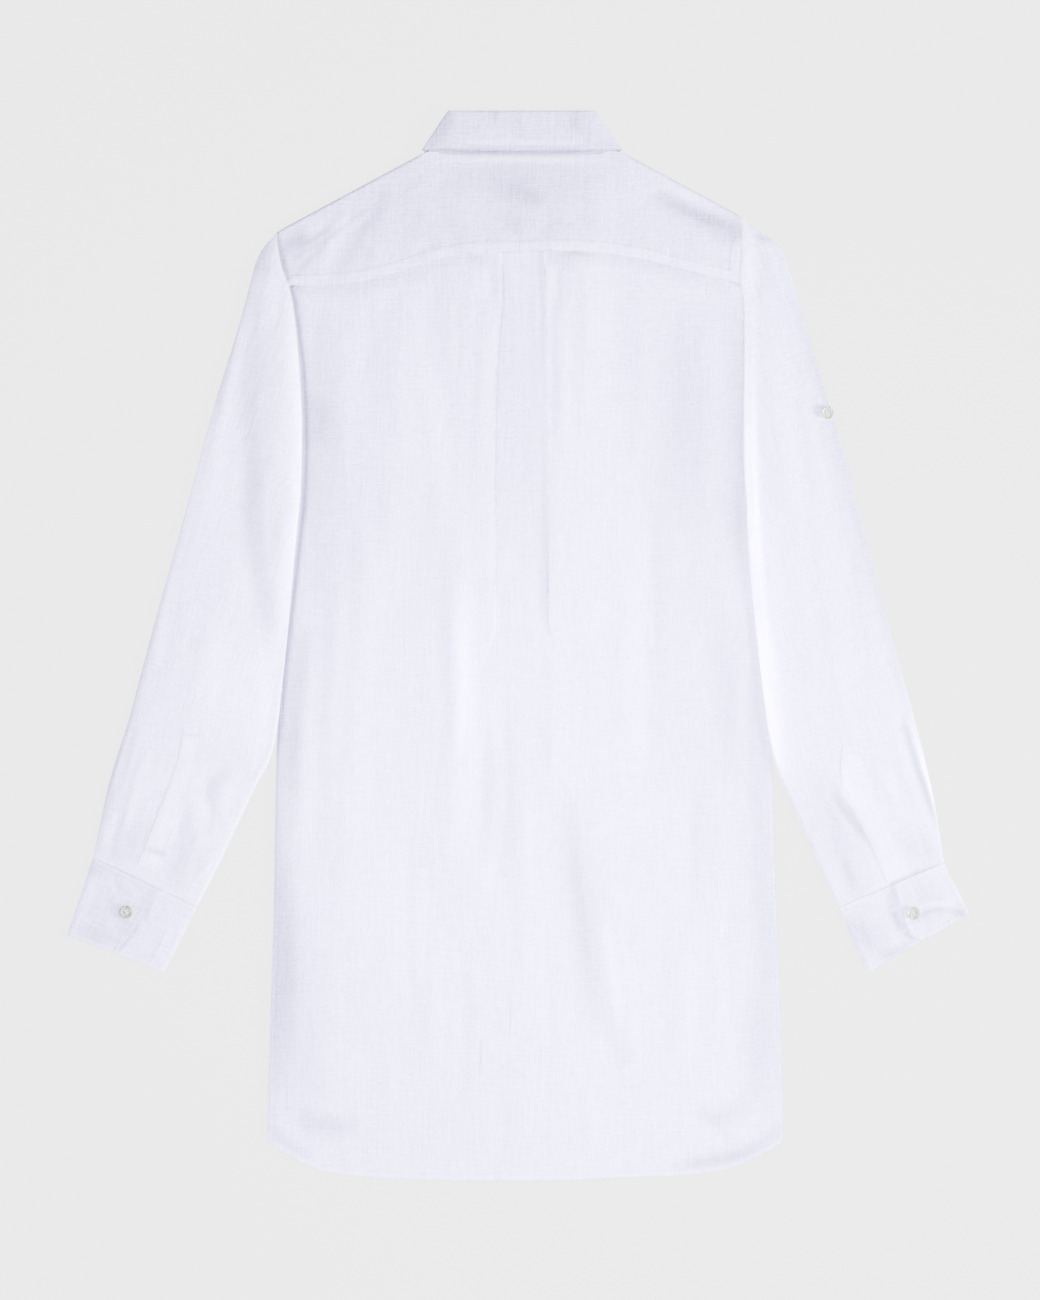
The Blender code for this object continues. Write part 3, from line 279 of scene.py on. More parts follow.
# Sewing lines: x and y of each run's points in turn
YOKE_SEWING = (
    (-189, 318.4, -156, 319.6, -127.5, 323, -99, 331, -78.5, 338, -58.5, 343, -35.5, 346, -13, 346.8, 21,
     347.8, 44.5, 348.4, 73, 346.8, 90, 344, 116, 339.2, 145, 331.6, 173.5, 324.6, 191, 320.6),
)
HEM_SEWING = (
    (-212, -424, -195.5, -434.8, -181.6, -441.9, -171, -446.6, -156.8, -449.9, -129.2, -452.8, -84.3,
     -454.8, -20, -455.2, 36, -454.9, 105, -452.2, 134, -451.6, 165, -448.7, 185, -444.2, 199.6, -437.9,
     212.4, -431.5, 224, -424),
)
SIDE_SEWING = (
    (-198.4, 84, -200.8, 30, -203, -30, -205.6, -120, -207.6, -230, -211.8, -350, -213, -420),
    (207.6, 84, 209.4, 30, 212, -30, 215.8, -120, 220, -230, 224.2, -350, 225.4, -420),
)
COLLAR_SEWING = (
    (-75.6, 446, -78.4, 430.4, -56, 429.8, -24, 429.6, 3, 429.5, 30, 429.6, 62, 429.8, 85, 430.4, 82.2,
     446),
)
PLACKET_LEFT_SEWING = (
    (-285.8, -73.4, -287.2, -88, -294.6, -113, -302.4, -132, -310.4, -153, -317.4, -171.8, -324.2, -187),
    (-273, -73.6, -274.2, -86, -281, -110, -289.4, -134.4, -297.4, -159.6, -305.8, -180.6, -311.6, -193),
    (-285.6, -78.2, -273.4, -78.6), (-285.6, -73.6, -273.2, -73.8),
)
PLACKET_RIGHT_SEWING = (
    (281.4, -89.2, 279.6, -105, 280.8, -122, 291.8, -143.4, 302.2, -163.2, 312, -185, 319.6, -202),
    (292.4, -88.2, 296, -99, 303, -120.8, 312.6, -146.4, 321.2, -165.4, 329.2, -183, 336, -195.6),
    (280.8, -94, 294, -92.6), (281.6, -89.4, 292.4, -88.4),
)
CUFF_LEFT_SEWING = (
    (-314.2, -209.6, -318, -222, -325.2, -240, -336, -259.6, -343.6, -262.2, -384.6, -246.8, -364.6,
     -187.4, -318.6, -208),
    (-278.6, -230.2, -303.4, -275.8, -330.6, -266.8),
)
CUFF_RIGHT_SEWING = (
    (324.2, -209, 326.6, -228, 332.6, -240, 343, -249, 351, -250.2, 384, -231.8, 365.4, -191.6, 328.6,
     -207.4),
    (277.8, -229.4, 301.6, -276, 340, -255.4),
)


class DressCloth(bpy.types.PropertyGroup):
    """How strongly the cloth is creased."""

    creases: FloatProperty(
        name="Creases", description="Strength of the hand-placed creases", default=2.0, min=0.0, max=2.0
    )
    crumple: FloatProperty(
        name="Crumple", description="Height of the fine unevenness", default=0.00028, unit="LENGTH"
    )
    stitch: FloatProperty(
        name="Stitch", description="Distance from one stitch to the next", default=0.0030, unit="LENGTH"
    )
    thread: FloatProperty(
        name="Thread", description="Thickness of the sewing thread", default=0.00042, unit="LENGTH"
    )
    weave: FloatProperty(
        name="Weave", description="Distance from one thread of the weave to the next", default=0.0008,
        unit="LENGTH",
    )


class DressColours(bpy.types.PropertyGroup):
    """The finishes' colours."""

    linen: FloatVectorProperty(
        name="Linen", description="Colour of the cloth", default=(0.61, 0.585, 0.80), subtype="COLOR"
    )
    cool: FloatVectorProperty(
        name="Cool patches", description="Tint of the cool patches", default=(0.595, 0.62, 0.81),
        subtype="COLOR",
    )
    warm: FloatVectorProperty(
        name="Warm patches", description="Tint of the warm patches", default=(0.625, 0.57, 0.785),
        subtype="COLOR",
    )
    thread: FloatVectorProperty(
        name="Thread", description="Colour of the sewing thread", default=(0.70, 0.68, 0.86),
        subtype="COLOR",
    )
    shell: FloatVectorProperty(
        name="Shell", description="Colour of the buttons", default=(0.15, 0.155, 0.092), subtype="COLOR"
    )
    floor: FloatVectorProperty(
        name="Floor", description="Colour of the floor", default=(0.80, 0.80, 0.80), subtype="COLOR"
    )
    light: FloatVectorProperty(
        name="Light", description="Colour of the lights", default=(0.79, 0.77, 1.0), subtype="COLOR"
    )


class DressStage(bpy.types.PropertyGroup):
    """The camera and the lights."""

    lens: FloatProperty(name="Lens", description="Focal length", default=85.0, min=20.0, unit="CAMERA")
    distance: FloatProperty(
        name="Distance", description="Height of the camera over the floor", default=2.644, unit="LENGTH"
    )
    view_x: FloatProperty(
        name="View X", description="Place of the camera across the dress", default=0.00155, unit="LENGTH"
    )
    view_y: FloatProperty(
        name="View Y", description="Place of the camera along the dress", default=-0.00387, unit="LENGTH"
    )
    key: FloatProperty(name="Key light", description="Power of the light overhead", default=56.0)
    side: FloatProperty(name="Side light", description="Power of the low light", default=1320.0)
    far_side: FloatProperty(
        name="Far side light", description="Power of the low light opposite", default=240.0
    )
    ambient: FloatProperty(name="Ambient", description="Strength of the even light", default=0.95)
    floor_glow: FloatProperty(
        name="Floor glow", description="Even brightness that the floor has of its own", default=4.6
    )


class Wire:
    """A shader socket that takes part in arithmetic."""

    def __init__(self, tree, socket):
        self.tree = tree
        self.socket = socket

    def maths(self, operation, *others):
        node = self.tree.nodes.new("ShaderNodeMath")
        node.operation = operation
        for slot, value in zip(node.inputs, (self, *others)):
            plug(self.tree, slot, value)
        return Wire(self.tree, node.outputs[0])

    def __add__(self, other):
        return self.maths("ADD", other)

    def __sub__(self, other):
        return self.maths("SUBTRACT", other)

    def __rsub__(self, other):
        return self.maths("MULTIPLY", -1.0).maths("ADD", other)

    def __mul__(self, other):
        return self.maths("MULTIPLY", other)

    def __truediv__(self, other):
        return self.maths("DIVIDE", other)

    __radd__ = __add__
    __rmul__ = __mul__

    def bell(self, centre, width):
        """1 where the value is at the centre, falling to 0 about a width away."""
        away = (self - centre) / width
        return (away * away * -1.0).maths("EXPONENT")

    def rise(self, low, high):
        """0 below low and 1 above high, with a soft step between."""
        node = self.tree.nodes.new("ShaderNodeMapRange")
        node.interpolation_type = "SMOOTHSTEP"
        for slot, value in zip(node.inputs, (self, low, high, 0.0, 1.0)):
            plug(self.tree, slot, value)
        return Wire(self.tree, node.outputs[0])


def plug(tree, slot, value):
    """Links a wire to a socket, or sets the socket's own value."""
    if isinstance(value, Wire):
        tree.links.new(value.socket, slot)
    else:
        slot.default_value = value


class Finish:
    """A material whose nodes are written as expressions."""

    def __init__(self, name, roughness, **fixed):
        self.material = bpy.data.materials.new(name)
        self.material.use_nodes = True
        self.tree = self.material.node_tree
        self.surface = self.tree.nodes["Principled BSDF"]
        self.surface.inputs["Roughness"].default_value = roughness
        for key, value in fixed.items():
            self.surface.inputs[key.replace("_", " ")].default_value = value

    def node(self, kind, sockets=(), output=0, **settings):
        """Adds a node, with its settings first and then the values or links of its sockets."""
        node = self.tree.nodes.new(f"ShaderNode{kind}")
        for key, value in settings.items():
            setattr(node, key, value)
        for key, value in dict(sockets).items():
            plug(self.tree, node.inputs[key], value)
        return Wire(self.tree, node.outputs[output])

    def parts(self, vector):
        """The X, Y and Z of a vector."""
        node = self.tree.nodes.new("ShaderNodeSeparateXYZ")
        plug(self.tree, node.inputs[0], vector)
        return [Wire(self.tree, socket) for socket in node.outputs]

    def place(self, turn=0.0, scale=(1.0, 1.0, 1.0), shift=(0.0, 0.0, 0.0), source=None):
        """Object coordinates in millimetres, turned about Z and stretched."""
        if source is None:
            source = self.node("TexCoord", output="Object")
            scale = tuple(value / MM for value in scale)
        return self.node(
            "Mapping", {"Vector": source, "Rotation": (0, 0, turn), "Scale": scale, "Location": shift}
        )

    def clouds(self, place, detail=2.0, rough=0.5, distortion=0.0):
        return self.node(
            "TexNoise",
            {"Vector": place, "Scale": 1.0, "Detail": detail, "Roughness": rough, "Distortion": distortion},
        )

    def tint(self, a, b, share, blend="MIX"):
        """Mixes two colours."""
        node = self.tree.nodes.new("ShaderNodeMix")
        node.data_type = "RGBA"
        node.blend_type = blend
        for index, value in ((0, share), (6, a), (7, b)):
            plug(self.tree, node.inputs[index], value)
        return Wire(self.tree, node.outputs[2])

    def finish(self, colour, roughness=None, height=None):
        """Links colour, roughness and a relief in millimetres to the surface."""
        plug(self.tree, self.surface.inputs["Base Color"], colour)
        if roughness is not None:
            plug(self.tree, self.surface.inputs["Roughness"], roughness)
        if height is not None:
            bump = self.node("Bump", {"Height": height, "Distance": MM, "Strength": 1.0})
            plug(self.tree, self.surface.inputs["Normal"], bump)
        return self.material


# Strength of the painted shade on cloth turned on its side, such as the folded edges of the sleeves
FOLD_PAINTED_SHADE = 0.27


def linen(name, turn=0.0, tone=1.0, band=0.0, doubling=0.05, rim_line=0.3, pleated=False):
    """Plain-weave linen: threads, slubs, fine crumple, doubled edges and the lines they are sewn on, with
    painted light and shade.

    The band is the width in millimetres of the doubled cloth along the piece's sewn edges.
    """
    colours = bpy.context.scene.dress_colours
    pitch = bpy.context.scene.dress_cloth.weave / MM
    cloth = Finish(name, 0.9, Sheen_Weight=0.12, Sheen_Roughness=0.5, Specular_IOR_Level=0.25)
    grain = cloth.place(turn)
    across, along, _ = cloth.parts(grain)

    def spread(width, length, *shift):
        """Places for a pattern whose grains are so wide and long, in millimetres."""
        return cloth.place(source=grain, scale=(1 / width, 1 / length, 0.02), shift=shift)

    def streaks(width, length, shift, detail=2.0):
        """Uneven threads: noise drawn out along or across the cloth."""
        return cloth.clouds(spread(width, length, shift, shift, shift), detail)

    warp, weft = streaks(1.1, 10, 3.1), streaks(9, 1.1, 7.7)
    warp_slub, weft_slub = streaks(2.4, 32, 11.3, 1.0), streaks(26, 2.2, 17.9, 1.0)
    fleck = streaks(2.2, 2.8, 41.0)
    wander = streaks(9, 9, 23.0)
    angle = math.tau / pitch
    over = (across * angle + wander * 3).maths("SINE") * (along * angle + wander * 3).maths("SINE")
    crumple = cloth.clouds(spread(24, 34, 5, 2, 1), 5.0, 0.6, 0.4)
    fine = cloth.clouds(spread(7, 9, 1, 8, 3), 3.0, 0.55)
    ridge = 1 - ((crumple - 0.5) * 2).maths("ABSOLUTE")
    edge = cloth.node("Attribute", attribute_name="sewn_edge", output=2)
    seam = cloth.node("Attribute", attribute_name="seen_edge", output=2)
    thread_line = edge.bell(band, 0.75)
    pucker = streaks(4, 4, 31.0, 1.0)
    relief = (
        over * 0.02 + (warp + weft) * 0.22 + (warp_slub + weft_slub) * 0.30 + crumple * 0.9 + ridge * 0.25
        + fine * 0.30 - thread_line * (0.10 + pucker * 0.2) + (1 - edge.rise(band, band + 1.2)) * 0.2
    )
    slub_tone = (warp + weft - 1.0) * 0.42 + (warp_slub + weft_slub - 1.0) * 0.20 + (fleck - 0.5) * 0.32
    doubled = (1 - edge.rise(band - 0.8, band + 0.8)) * pucker * (doubling * 2)
    # Painted shade: darker lines at the seen rims, along the puckered sewing and where the cloth turns on
    # its side
    upright = cloth.parts(cloth.node("NewGeometry", output="Normal"))[2]
    folded_over = 1 - upright.maths("ABSOLUTE").rise(0.3, 0.93)
    line = seam.bell(0.0, 0.8) * rim_line + thread_line * pucker * 0.14 + folded_over * FOLD_PAINTED_SHADE
    # The piece's own factor is painted shading: the same linen made lighter or darker for the whole piece
    shade = tone + slub_tone + over * 0.004 + doubled - line
    # Painted light and shade: the factor that the runs left at each point darkens or lightens the colour
    shade = shade * cloth.node("Attribute", attribute_name="tone", output=2)
    # Painted shade along the pleat's left folded edge, painted light along its right one, and painted
    # shadow along the back's left side, strongest where the left sleeve lies beside it
    if pleated:
        fold = cloth.node("Attribute", attribute_name="left_fold", output=2).bell(0.3, 0.8) * -0.3
        fold = fold + cloth.node("Attribute", attribute_name="right_fold", output=2).bell(0.6, 1.3) * 0.5
        shade = shade * (fold * along.rise(50, 140) + 1.0)
        beside = cloth.node("Attribute", attribute_name="left_side", output=2)
        depth = along.rise(-110, -70) * 0.35 + along.rise(-400, -300) * 0.25
        shade = shade * (1 - beside.bell(0.2, 2.8) * depth) * (1 - beside.bell(0.0, 9.0) * 0.2)
    patch = cloth.clouds(cloth.place(scale=(1 / 150, 1 / 210, 0.02), shift=(4.2, 0.7, 0.0)), 3.0, 0.55)
    colour = cloth.tint((*colours.linen, 1), (*colours.cool, 1), patch.rise(0.52, 0.72))
    colour = cloth.tint(colour, (*colours.warm, 1), (1 - patch).rise(0.56, 0.76) * 0.7)
    colour = cloth.tint(colour, shade, 1.0, "MULTIPLY")
    return cloth.finish(colour, 0.84 + fine * 0.12, relief)


def shell(name, tone=1.0):
    """Pearly shell with soft growth lines."""
    colours = bpy.context.scene.dress_colours
    pearl = Finish(name, 0.22, Coat_Weight=0.35, Coat_Roughness=0.12, Specular_IOR_Level=0.6)
    swirl = pearl.clouds(pearl.place(0.6, (0.35, 0.12, 0.3)), 3.0, 0.55, 1.2)
    lines = (pearl.clouds(pearl.place(0.6, (0.9, 0.2, 0.6)), 2.0) * 18).maths("SINE")
    # The factor is painted shading: the same shell made lighter or darker for each button
    deep = tuple(value * 0.4 * tone for value in colours.shell)
    pale = tuple(min(1.0, value * 2.0 * tone) for value in colours.shell)
    colour = pearl.tint((*deep, 1), (*pale, 1), swirl.rise(0.3, 0.7))
    colour = pearl.tint(colour, (*colours.shell, 1), 0.2 + lines * 0.15)
    return pearl.finish(colour, 0.16 + swirl * 0.2, lines * 0.01)


def twisted_thread(name):
    """Sewing thread with its twist."""
    colours = bpy.context.scene.dress_colours
    thread = Finish(name, 0.75, Sheen_Weight=0.2)
    twist = (thread.clouds(thread.place(0.7, (2.2, 0.7, 1.0)), 1.0) * 24).maths("SINE")
    colour = thread.tint((*colours.thread, 1), (0.93 + twist * 0.05), 1.0, "MULTIPLY")
    return thread.finish(colour, 0.7 + twist * 0.08, twist * 0.03)


def floor_paper(name):
    """Smooth pale paper that keeps an even brightness away from the light."""
    colours = bpy.context.scene.dress_colours
    glow = bpy.context.scene.dress_stage.floor_glow
    paper = Finish(name, 0.95, Specular_IOR_Level=0.1, Emission_Strength=glow)
    speck = paper.clouds(paper.place(0.0, (0.04, 0.04, 0.04)), 4.0)
    colour = paper.tint((*colours.floor, 1), 0.995 + speck * 0.01, 1.0, "MULTIPLY")
    plug(paper.tree, paper.surface.inputs["Emission Color"], colour)
    return paper.finish(paper.tint(colour, (0.10, 0.10, 0.08, 1), 1.0, "MULTIPLY"), None, speck * 0.01)


def select_none():
    bpy.ops.object.select_all(action="DESELECT")


def select_only(thing):
    select_none()
    thing.select_set(True)
    bpy.context.view_layer.objects.active = thing


def edit_all():
    """Opens the active mesh for editing with everything selected."""
    bpy.ops.object.mode_set(mode="EDIT")
    bpy.ops.mesh.select_all(action="SELECT")


def points_of(mesh):
    """A mesh's points in millimetres."""
    flat = np.empty(len(mesh.vertices) * 3)
    mesh.vertices.foreach_get("co", flat)
    return flat.reshape(-1, 3) / MM


def set_points(mesh, points):
    mesh.vertices.foreach_set("co", (points * MM).ravel())
    mesh.update()


def smooth_run(points, step):
    """Points at even steps along a smooth curve through the given ones."""
    given = np.reshape(points, (-1, 2)).astype(float)
    ends = np.vstack((2 * given[0] - given[1], given, 2 * given[-1] - given[-2]))
    fine = []
    for a, b, c, d in zip(ends, ends[1:], ends[2:], ends[3:]):
        t = np.linspace(0, 1, 12, endpoint=False)[:, None]
        bend, twist = 2 * a - 5 * b + 4 * c - d, 3 * b - a - 3 * c + d
        fine.append(0.5 * (2 * b + (c - a) * t + bend * t**2 + twist * t**3))
    fine = np.vstack((*fine, given[-1:]))
    length = np.concatenate(([0], np.cumsum(np.linalg.norm(np.diff(fine, axis=0), axis=1))))
    places = np.linspace(0, length[-1], max(2, round(length[-1] / step) + 1))
    return np.column_stack([np.interp(places, length, fine[:, k]) for k in range(fine.shape[1])])


def crease_heights(x, y, creases):
    """The height that creases give at points, all in millimetres."""
    total = np.zeros(len(x))
    for left, right, rise, *points in creases:
        run = smooth_run(points, 8.0)
        reach = 3 * max(left, right)
        low, high = run.min(0) - reach, run.max(0) + reach
        near = np.flatnonzero((x > low[0]) & (x < high[0]) & (y > low[1]) & (y < high[1]))
        if not len(near):
            continue
        px, py = x[near], y[near]
        nearest = np.full(len(near), np.inf)
        side, place = np.zeros(len(near)), np.zeros(len(near))
        count = len(run) - 1
        for k in range(count):
            dx, dy = run[k + 1] - run[k]
            long = math.hypot(dx, dy)
            share = np.clip(((px - run[k, 0]) * dx + (py - run[k, 1]) * dy) / long**2, 0, 1)
            away = np.hypot(px - run[k, 0] - share * dx, py - run[k, 1] - share * dy)
            turned = (px - run[k, 0]) * dy - (py - run[k, 1]) * dx
            closer = away < nearest
            nearest = np.where(closer, away, nearest)
            side = np.where(closer, turned, side)
            place = np.where(closer, (k + share) / count, place)
        width = np.where(side < 0, left, right)
        total[near] += rise * np.exp(-((nearest / width) ** 2)) * np.sin(math.pi * place) ** 0.7
    return total


def crumple_heights(points, height):
    """A fine, even unevenness of the cloth, in millimetres."""
    rough = np.array([
        noise.noise(Vector((x / 27, y / 40, 0.3))) + 0.45 * noise.noise(Vector((x / 12, y / 15, 4.1)))
        for x, y in points[:, :2]
    ])
    return rough * height


def fine_copy(node, name, levels, long_side=None):
    """A merged copy of a node's shell, made fine and smooth, with its rims kept sharp."""
    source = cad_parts[node].data
    mesh = bpy.data.meshes.new(name)
    mesh.from_pydata([v.co for v in source.vertices], [], [tuple(p.vertices) for p in source.polygons])
    piece = bpy.data.objects.new(name, mesh)
    bpy.context.scene.collection.objects.link(piece)
    select_only(piece)
    edit_all()
    bpy.ops.mesh.remove_doubles(threshold=1e-6)
    bpy.ops.mesh.tris_convert_to_quads(face_threshold=math.pi, shape_threshold=math.pi)
    bpy.ops.object.mode_set(mode="OBJECT")
    body = bmesh.new()
    body.from_mesh(mesh)
    if long_side is not None:
        long_edges = [edge for edge in body.edges if edge.calc_length() > long_side * MM]
        bmesh.ops.subdivide_edges(body, edges=long_edges, cuts=1, use_grid_fill=True)
    crease = body.edges.layers.float.new("crease_edge")
    rims = []
    for edge in body.edges:
        if edge.is_manifold and edge.calc_face_angle() > math.radians(75):
            edge[crease] = 1.0
            a, b = (end.co / MM for end in edge.verts)
            steps = max(1, round((b - a).length / 1.5))
            rims += [a.lerp(b, k / steps) for k in range(steps + 1)]
    body.to_mesh(mesh)
    body.free()
    smooth = piece.modifiers.new("smooth", "SUBSURF")
    smooth.levels = smooth.render_levels = levels
    bpy.ops.object.modifier_apply(modifier=smooth.name)
    bpy.ops.object.shade_smooth_by_angle(angle=math.radians(55))
    return piece, rims


def mark_edges(piece, rims, is_sewn=lambda p: True, shows=lambda p: True, depth=0.0):
    """Keeps each point's distance in millimetres from all rims, from those seen and from those sewn.

    The depth tells how much a difference in height counts, to keep a rim in a lower layer out of the marks.
    """
    points = points_of(piece.data)
    for name, counts in (("any_edge", lambda p: True), ("seen_edge", shows), ("sewn_edge", is_sewn)):
        chosen = [p for p in rims if counts(p)]
        values = np.full(len(points), FAR_AWAY)
        if chosen:
            tree = KDTree(len(chosen))
            for k, spot in enumerate(chosen):
                tree.insert((spot.x, spot.y, spot.z * depth), k)
            tree.balance()
            values[:] = [tree.find((x, y, z * depth))[2] for x, y, z in points]
        attribute = piece.data.attributes.new(name, "FLOAT", "POINT")
        attribute.data.foreach_set("value", values)


def read_marks(piece, name):
    values = np.empty(len(piece.data.vertices))
    piece.data.attributes[name].data.foreach_get("value", values)
    return values


def surface_of(piece):
    return BVHTree.FromPolygons(
        [v.co for v in piece.data.vertices], [tuple(face.vertices) for face in piece.data.polygons]
    )


def hits(tree, points, start, direction):
    """Heights in millimetres where rays straight down or up first meet a surface."""
    found = np.full(len(points), np.nan)
    for k, (x, y) in enumerate(points[:, :2]):
        spot = tree.ray_cast(Vector((x * MM, y * MM, start * MM)), Vector((0, 0, direction)))[0]
        if spot is not None:
            found[k] = spot.z / MM
    return found


def upper_share(piece, points):
    """How far each point of a flat tube belongs to its upper layer, and the air between the layers."""
    tree = surface_of(piece)
    low, high = hits(tree, points, -20, 1), hits(tree, points, 60, -1)
    low = np.where(np.isnan(low), points[:, 2], low)
    high = np.where(np.isnan(high), points[:, 2], high)
    air = np.maximum(high - low - 2.0, 0.05)
    share = np.clip((points[:, 2] - low - 1.0) / air, 0, 1)
    return share * share * (3 - 2 * share), air


def shade_by(piece, tones):
    """Keeps the painted light and shade of the cloth on the piece, as a factor on its colour at each point.
    """
    points = points_of(piece.data)
    attribute = piece.data.attributes.new("tone", "FLOAT", "POINT")
    attribute.data.foreach_set("value", 2 ** crease_heights(points[:, 0], points[:, 1], tones))


def crease(piece, creases, share=1.0, air=99.0, ease=8.0):
    """Lays the creases and the crumple on a piece, fading to nothing at its rims."""
    settings = bpy.context.scene.dress_cloth
    points = points_of(piece.data)
    rise = crease_heights(points[:, 0], points[:, 1], creases) * settings.creases
    rise += crumple_heights(points, settings.crumple / MM)
    rise *= np.clip(read_marks(piece, "any_edge") / ease, 0.0, 1.0)
    rise = np.maximum(rise, -0.85 * air) * share
    points[:, 2] += rise
    set_points(piece.data, points)


def dress_up(piece, node, tones, flat, area, rests_on, threads, **look):
    """Gives a cloth piece its painted light and shade, its linen and its body."""
    shade_by(piece, tones)
    piece.data.materials.clear()
    piece.data.materials.append(linen(**look))
    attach(piece, "root")
    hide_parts(node)


def sewing(name, runs, ground):
    """One mesh of stitches along the runs, half sunk in the cloth below them."""
    settings = bpy.context.scene.dress_cloth
    radius = settings.thread / 2
    pitch = settings.stitch / MM
    select_none()
    bpy.ops.mesh.primitive_cylinder_add(vertices=6, radius=radius, depth=settings.stitch * 0.72)
    stitch = bpy.context.active_object
    edit_all()
    bpy.ops.transform.rotate(value=math.pi / 2, orient_axis="Y", center_override=(0, 0, 0))
    bpy.ops.mesh.bevel(offset=radius * 0.6, segments=1, affect="EDGES")
    bpy.ops.object.mode_set(mode="OBJECT")
    shape = points_of(stitch.data)
    faces = [tuple(face.vertices) for face in stitch.data.polygons]
    tree = surface_of(ground)
    points, polygons = [], []
    for run in runs:
        path = smooth_run(run, pitch)
        heights = hits(tree, path, 60, -1)
        for k in range(len(path) - 1):
            z0, z1 = heights[k], heights[k + 1]
            if np.isnan(z0) or np.isnan(z1) or abs(z1 - z0) > 1.5:
                continue
            start = np.array((*path[k], z0))
            ahead = np.array((*path[k + 1], z1)) - start
            long = np.linalg.norm(ahead)
            ahead /= long
            beside = np.cross((0, 0, 1), ahead)
            beside /= np.linalg.norm(beside)
            turn = np.array((ahead, beside, np.cross(ahead, beside)))
            centre = start + ahead * long / 2 + (0, 0, radius / MM * 0.35)
            polygons += [tuple(i + len(points) for i in face) for face in faces]
            points += list((shape @ turn + centre) * MM)
    mesh = stitch.data
    mesh.clear_geometry()
    mesh.from_pydata(points, [], polygons)
    stitch.name = mesh.name = name
    select_only(stitch)
    edit_all()
    bpy.ops.mesh.normals_make_consistent(inside=False)
    bpy.ops.object.mode_set(mode="OBJECT")
    bpy.ops.object.shade_smooth_by_angle(angle=math.radians(60))
    stitch.data.materials.append(twisted_thread(f"{name}_thread"))
    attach(stitch, "root")
    return stitch


def shows_on_back(p):
    """Whether a rim of the back lies in the open, as those of the cloth folded under the pleat don't."""
    if not (20 < p.y < 342 and -60 < p.x < 60):
        return True
    return p.z > 8.3 and p.y < 328 and (-21.5 < p.x < -12 or 21.5 < p.x < 27.5)


def shows_on_yoke(p):
    """Whether a rim of the yoke lies in the open: its front seams and its neck rim don't."""
    outwards = abs(p.x - NECK_CENTRE)
    if p.z > 2.4:
        return not (p.y > 414 and outwards < 92)
    return outwards > 90 and p.y > 411 - 0.52 * (outwards - 86)


class DRESS_OT_back(bpy.types.Operator):
    """Lay the back with its pleat, side seams and hem"""

    bl_idname = "dress.back"
    bl_label = "Back"

    def execute(self, context):
        back, rims = fine_copy("back_panel", "back", 2, 24)
        mark_edges(back, rims, lambda p: p.y < -421, shows=shows_on_back)
        points = points_of(back.data)
        air = np.maximum(points[:, 2] - 1.3 - 1.0 * (points[:, 2] > 2.2), 0.1)
        crease(back, BACK_CREASES, air=np.minimum(air, 1.6))
        hem = sewing("hem_sewing", HEM_SEWING, back)
        sides = sewing("side_sewing", SIDE_SEWING, back)
        points = points_of(back.data)
        marks = {"left_fold": PLEAT_LEFT, "right_fold": PLEAT_RIGHT, "left_side": LEFT_SIDE}
        for mark, table in marks.items():
            rows = np.reshape(table, (-1, 2))
            away = points[:, 0] - np.interp(points[:, 1], rows[:, 0], rows[:, 1])
            back.data.attributes.new(mark, "FLOAT", "POINT").data.foreach_set("value", away)
        dress_up(
            back, "back_panel", BACK_PAINTED_SHADING, (0.46, 0.80), 0.355, FRONT_NODES, [hem, sides],
            name="back_linen", band=4.8, pleated=True,
        )
        return {"FINISHED"}


class DRESS_OT_yoke(bpy.types.Operator):
    """Lay the yoke over the shoulders"""

    bl_idname = "dress.yoke"
    bl_label = "Yoke"

    def execute(self, context):
        yoke, rims = fine_copy("yoke", "back_yoke", 3)
        mark_edges(yoke, rims, lambda p: p.y < 350 and p.z > 2.0 and -192 < p.x < 192, shows=shows_on_yoke)
        points = points_of(yoke.data)
        top = np.clip((points[:, 2] - 2.2) / 1.5, 0, 1)
        crease(yoke, YOKE_CREASES, top, air=1.6, ease=6.0)
        edge = np.clip(1 - read_marks(yoke, "sewn_edge") / 9.0, 0, 1)
        points = points_of(yoke.data)
        over_seam = edge * (points[:, 2] > 1.8)
        points[:, 1] -= 1.1 * over_seam**3
        points[:, 2] += 0.55 * over_seam**0.5
        outwards = abs(points[:, 0] - NECK_CENTRE)
        tucked = np.clip((points[:, 1] - 419.0) / 1.8, 0, 1) * np.clip((outwards - 46) / 8, 0, 1)
        tucked *= np.clip((86 - outwards) / 5, 0, 1)
        points[:, 1] += 2.8 * tucked
        points[:, 2] -= 0.25 * tucked
        set_points(yoke.data, points)
        seam = sewing("yoke_sewing", YOKE_SEWING, yoke)
        dress_up(
            yoke, "yoke", YOKE_PAINTED_SHADING, (0.42, 0.15), 0.04, ["back_panel", *FRONT_NODES], [seam],
            name="yoke_linen", tone=0.885, band=8.6, doubling=0.16,
        )
        return {"FINISHED"}


class DRESS_OT_fronts(bpy.types.Operator):
    """Lay the two fronts below the back"""

    bl_idname = "dress.fronts"
    bl_label = "Fronts"

    def execute(self, context):
        for node, name in (("front_right", "right_front"), ("front_left", "left_front")):
            front, rims = fine_copy(node, name, 2)
            mark_edges(front, rims, lambda p: p.y < -400)
            points = points_of(front.data)
            resting = np.clip((abs(points[:, 0] - FRONT_CENTRE) - 36) / 10, 0, 1)
            crease(front, FRONT_CREASES, resting, air=0.0, ease=12.0)
            dress_up(front, node, NONE, (0.24, 0.84), 0.18, [], [], name=f"{name}_linen", band=4.8)
        return {"FINISHED"}


SLEEVES = (
    ("sleeve_left", "left_sleeve", SLEEVE_LEFT_CREASES, SLEEVE_LEFT_PAINTED_SHADING, 0.27),
    ("sleeve_right", "right_sleeve", SLEEVE_RIGHT_CREASES, SLEEVE_RIGHT_PAINTED_SHADING, -0.27),
)


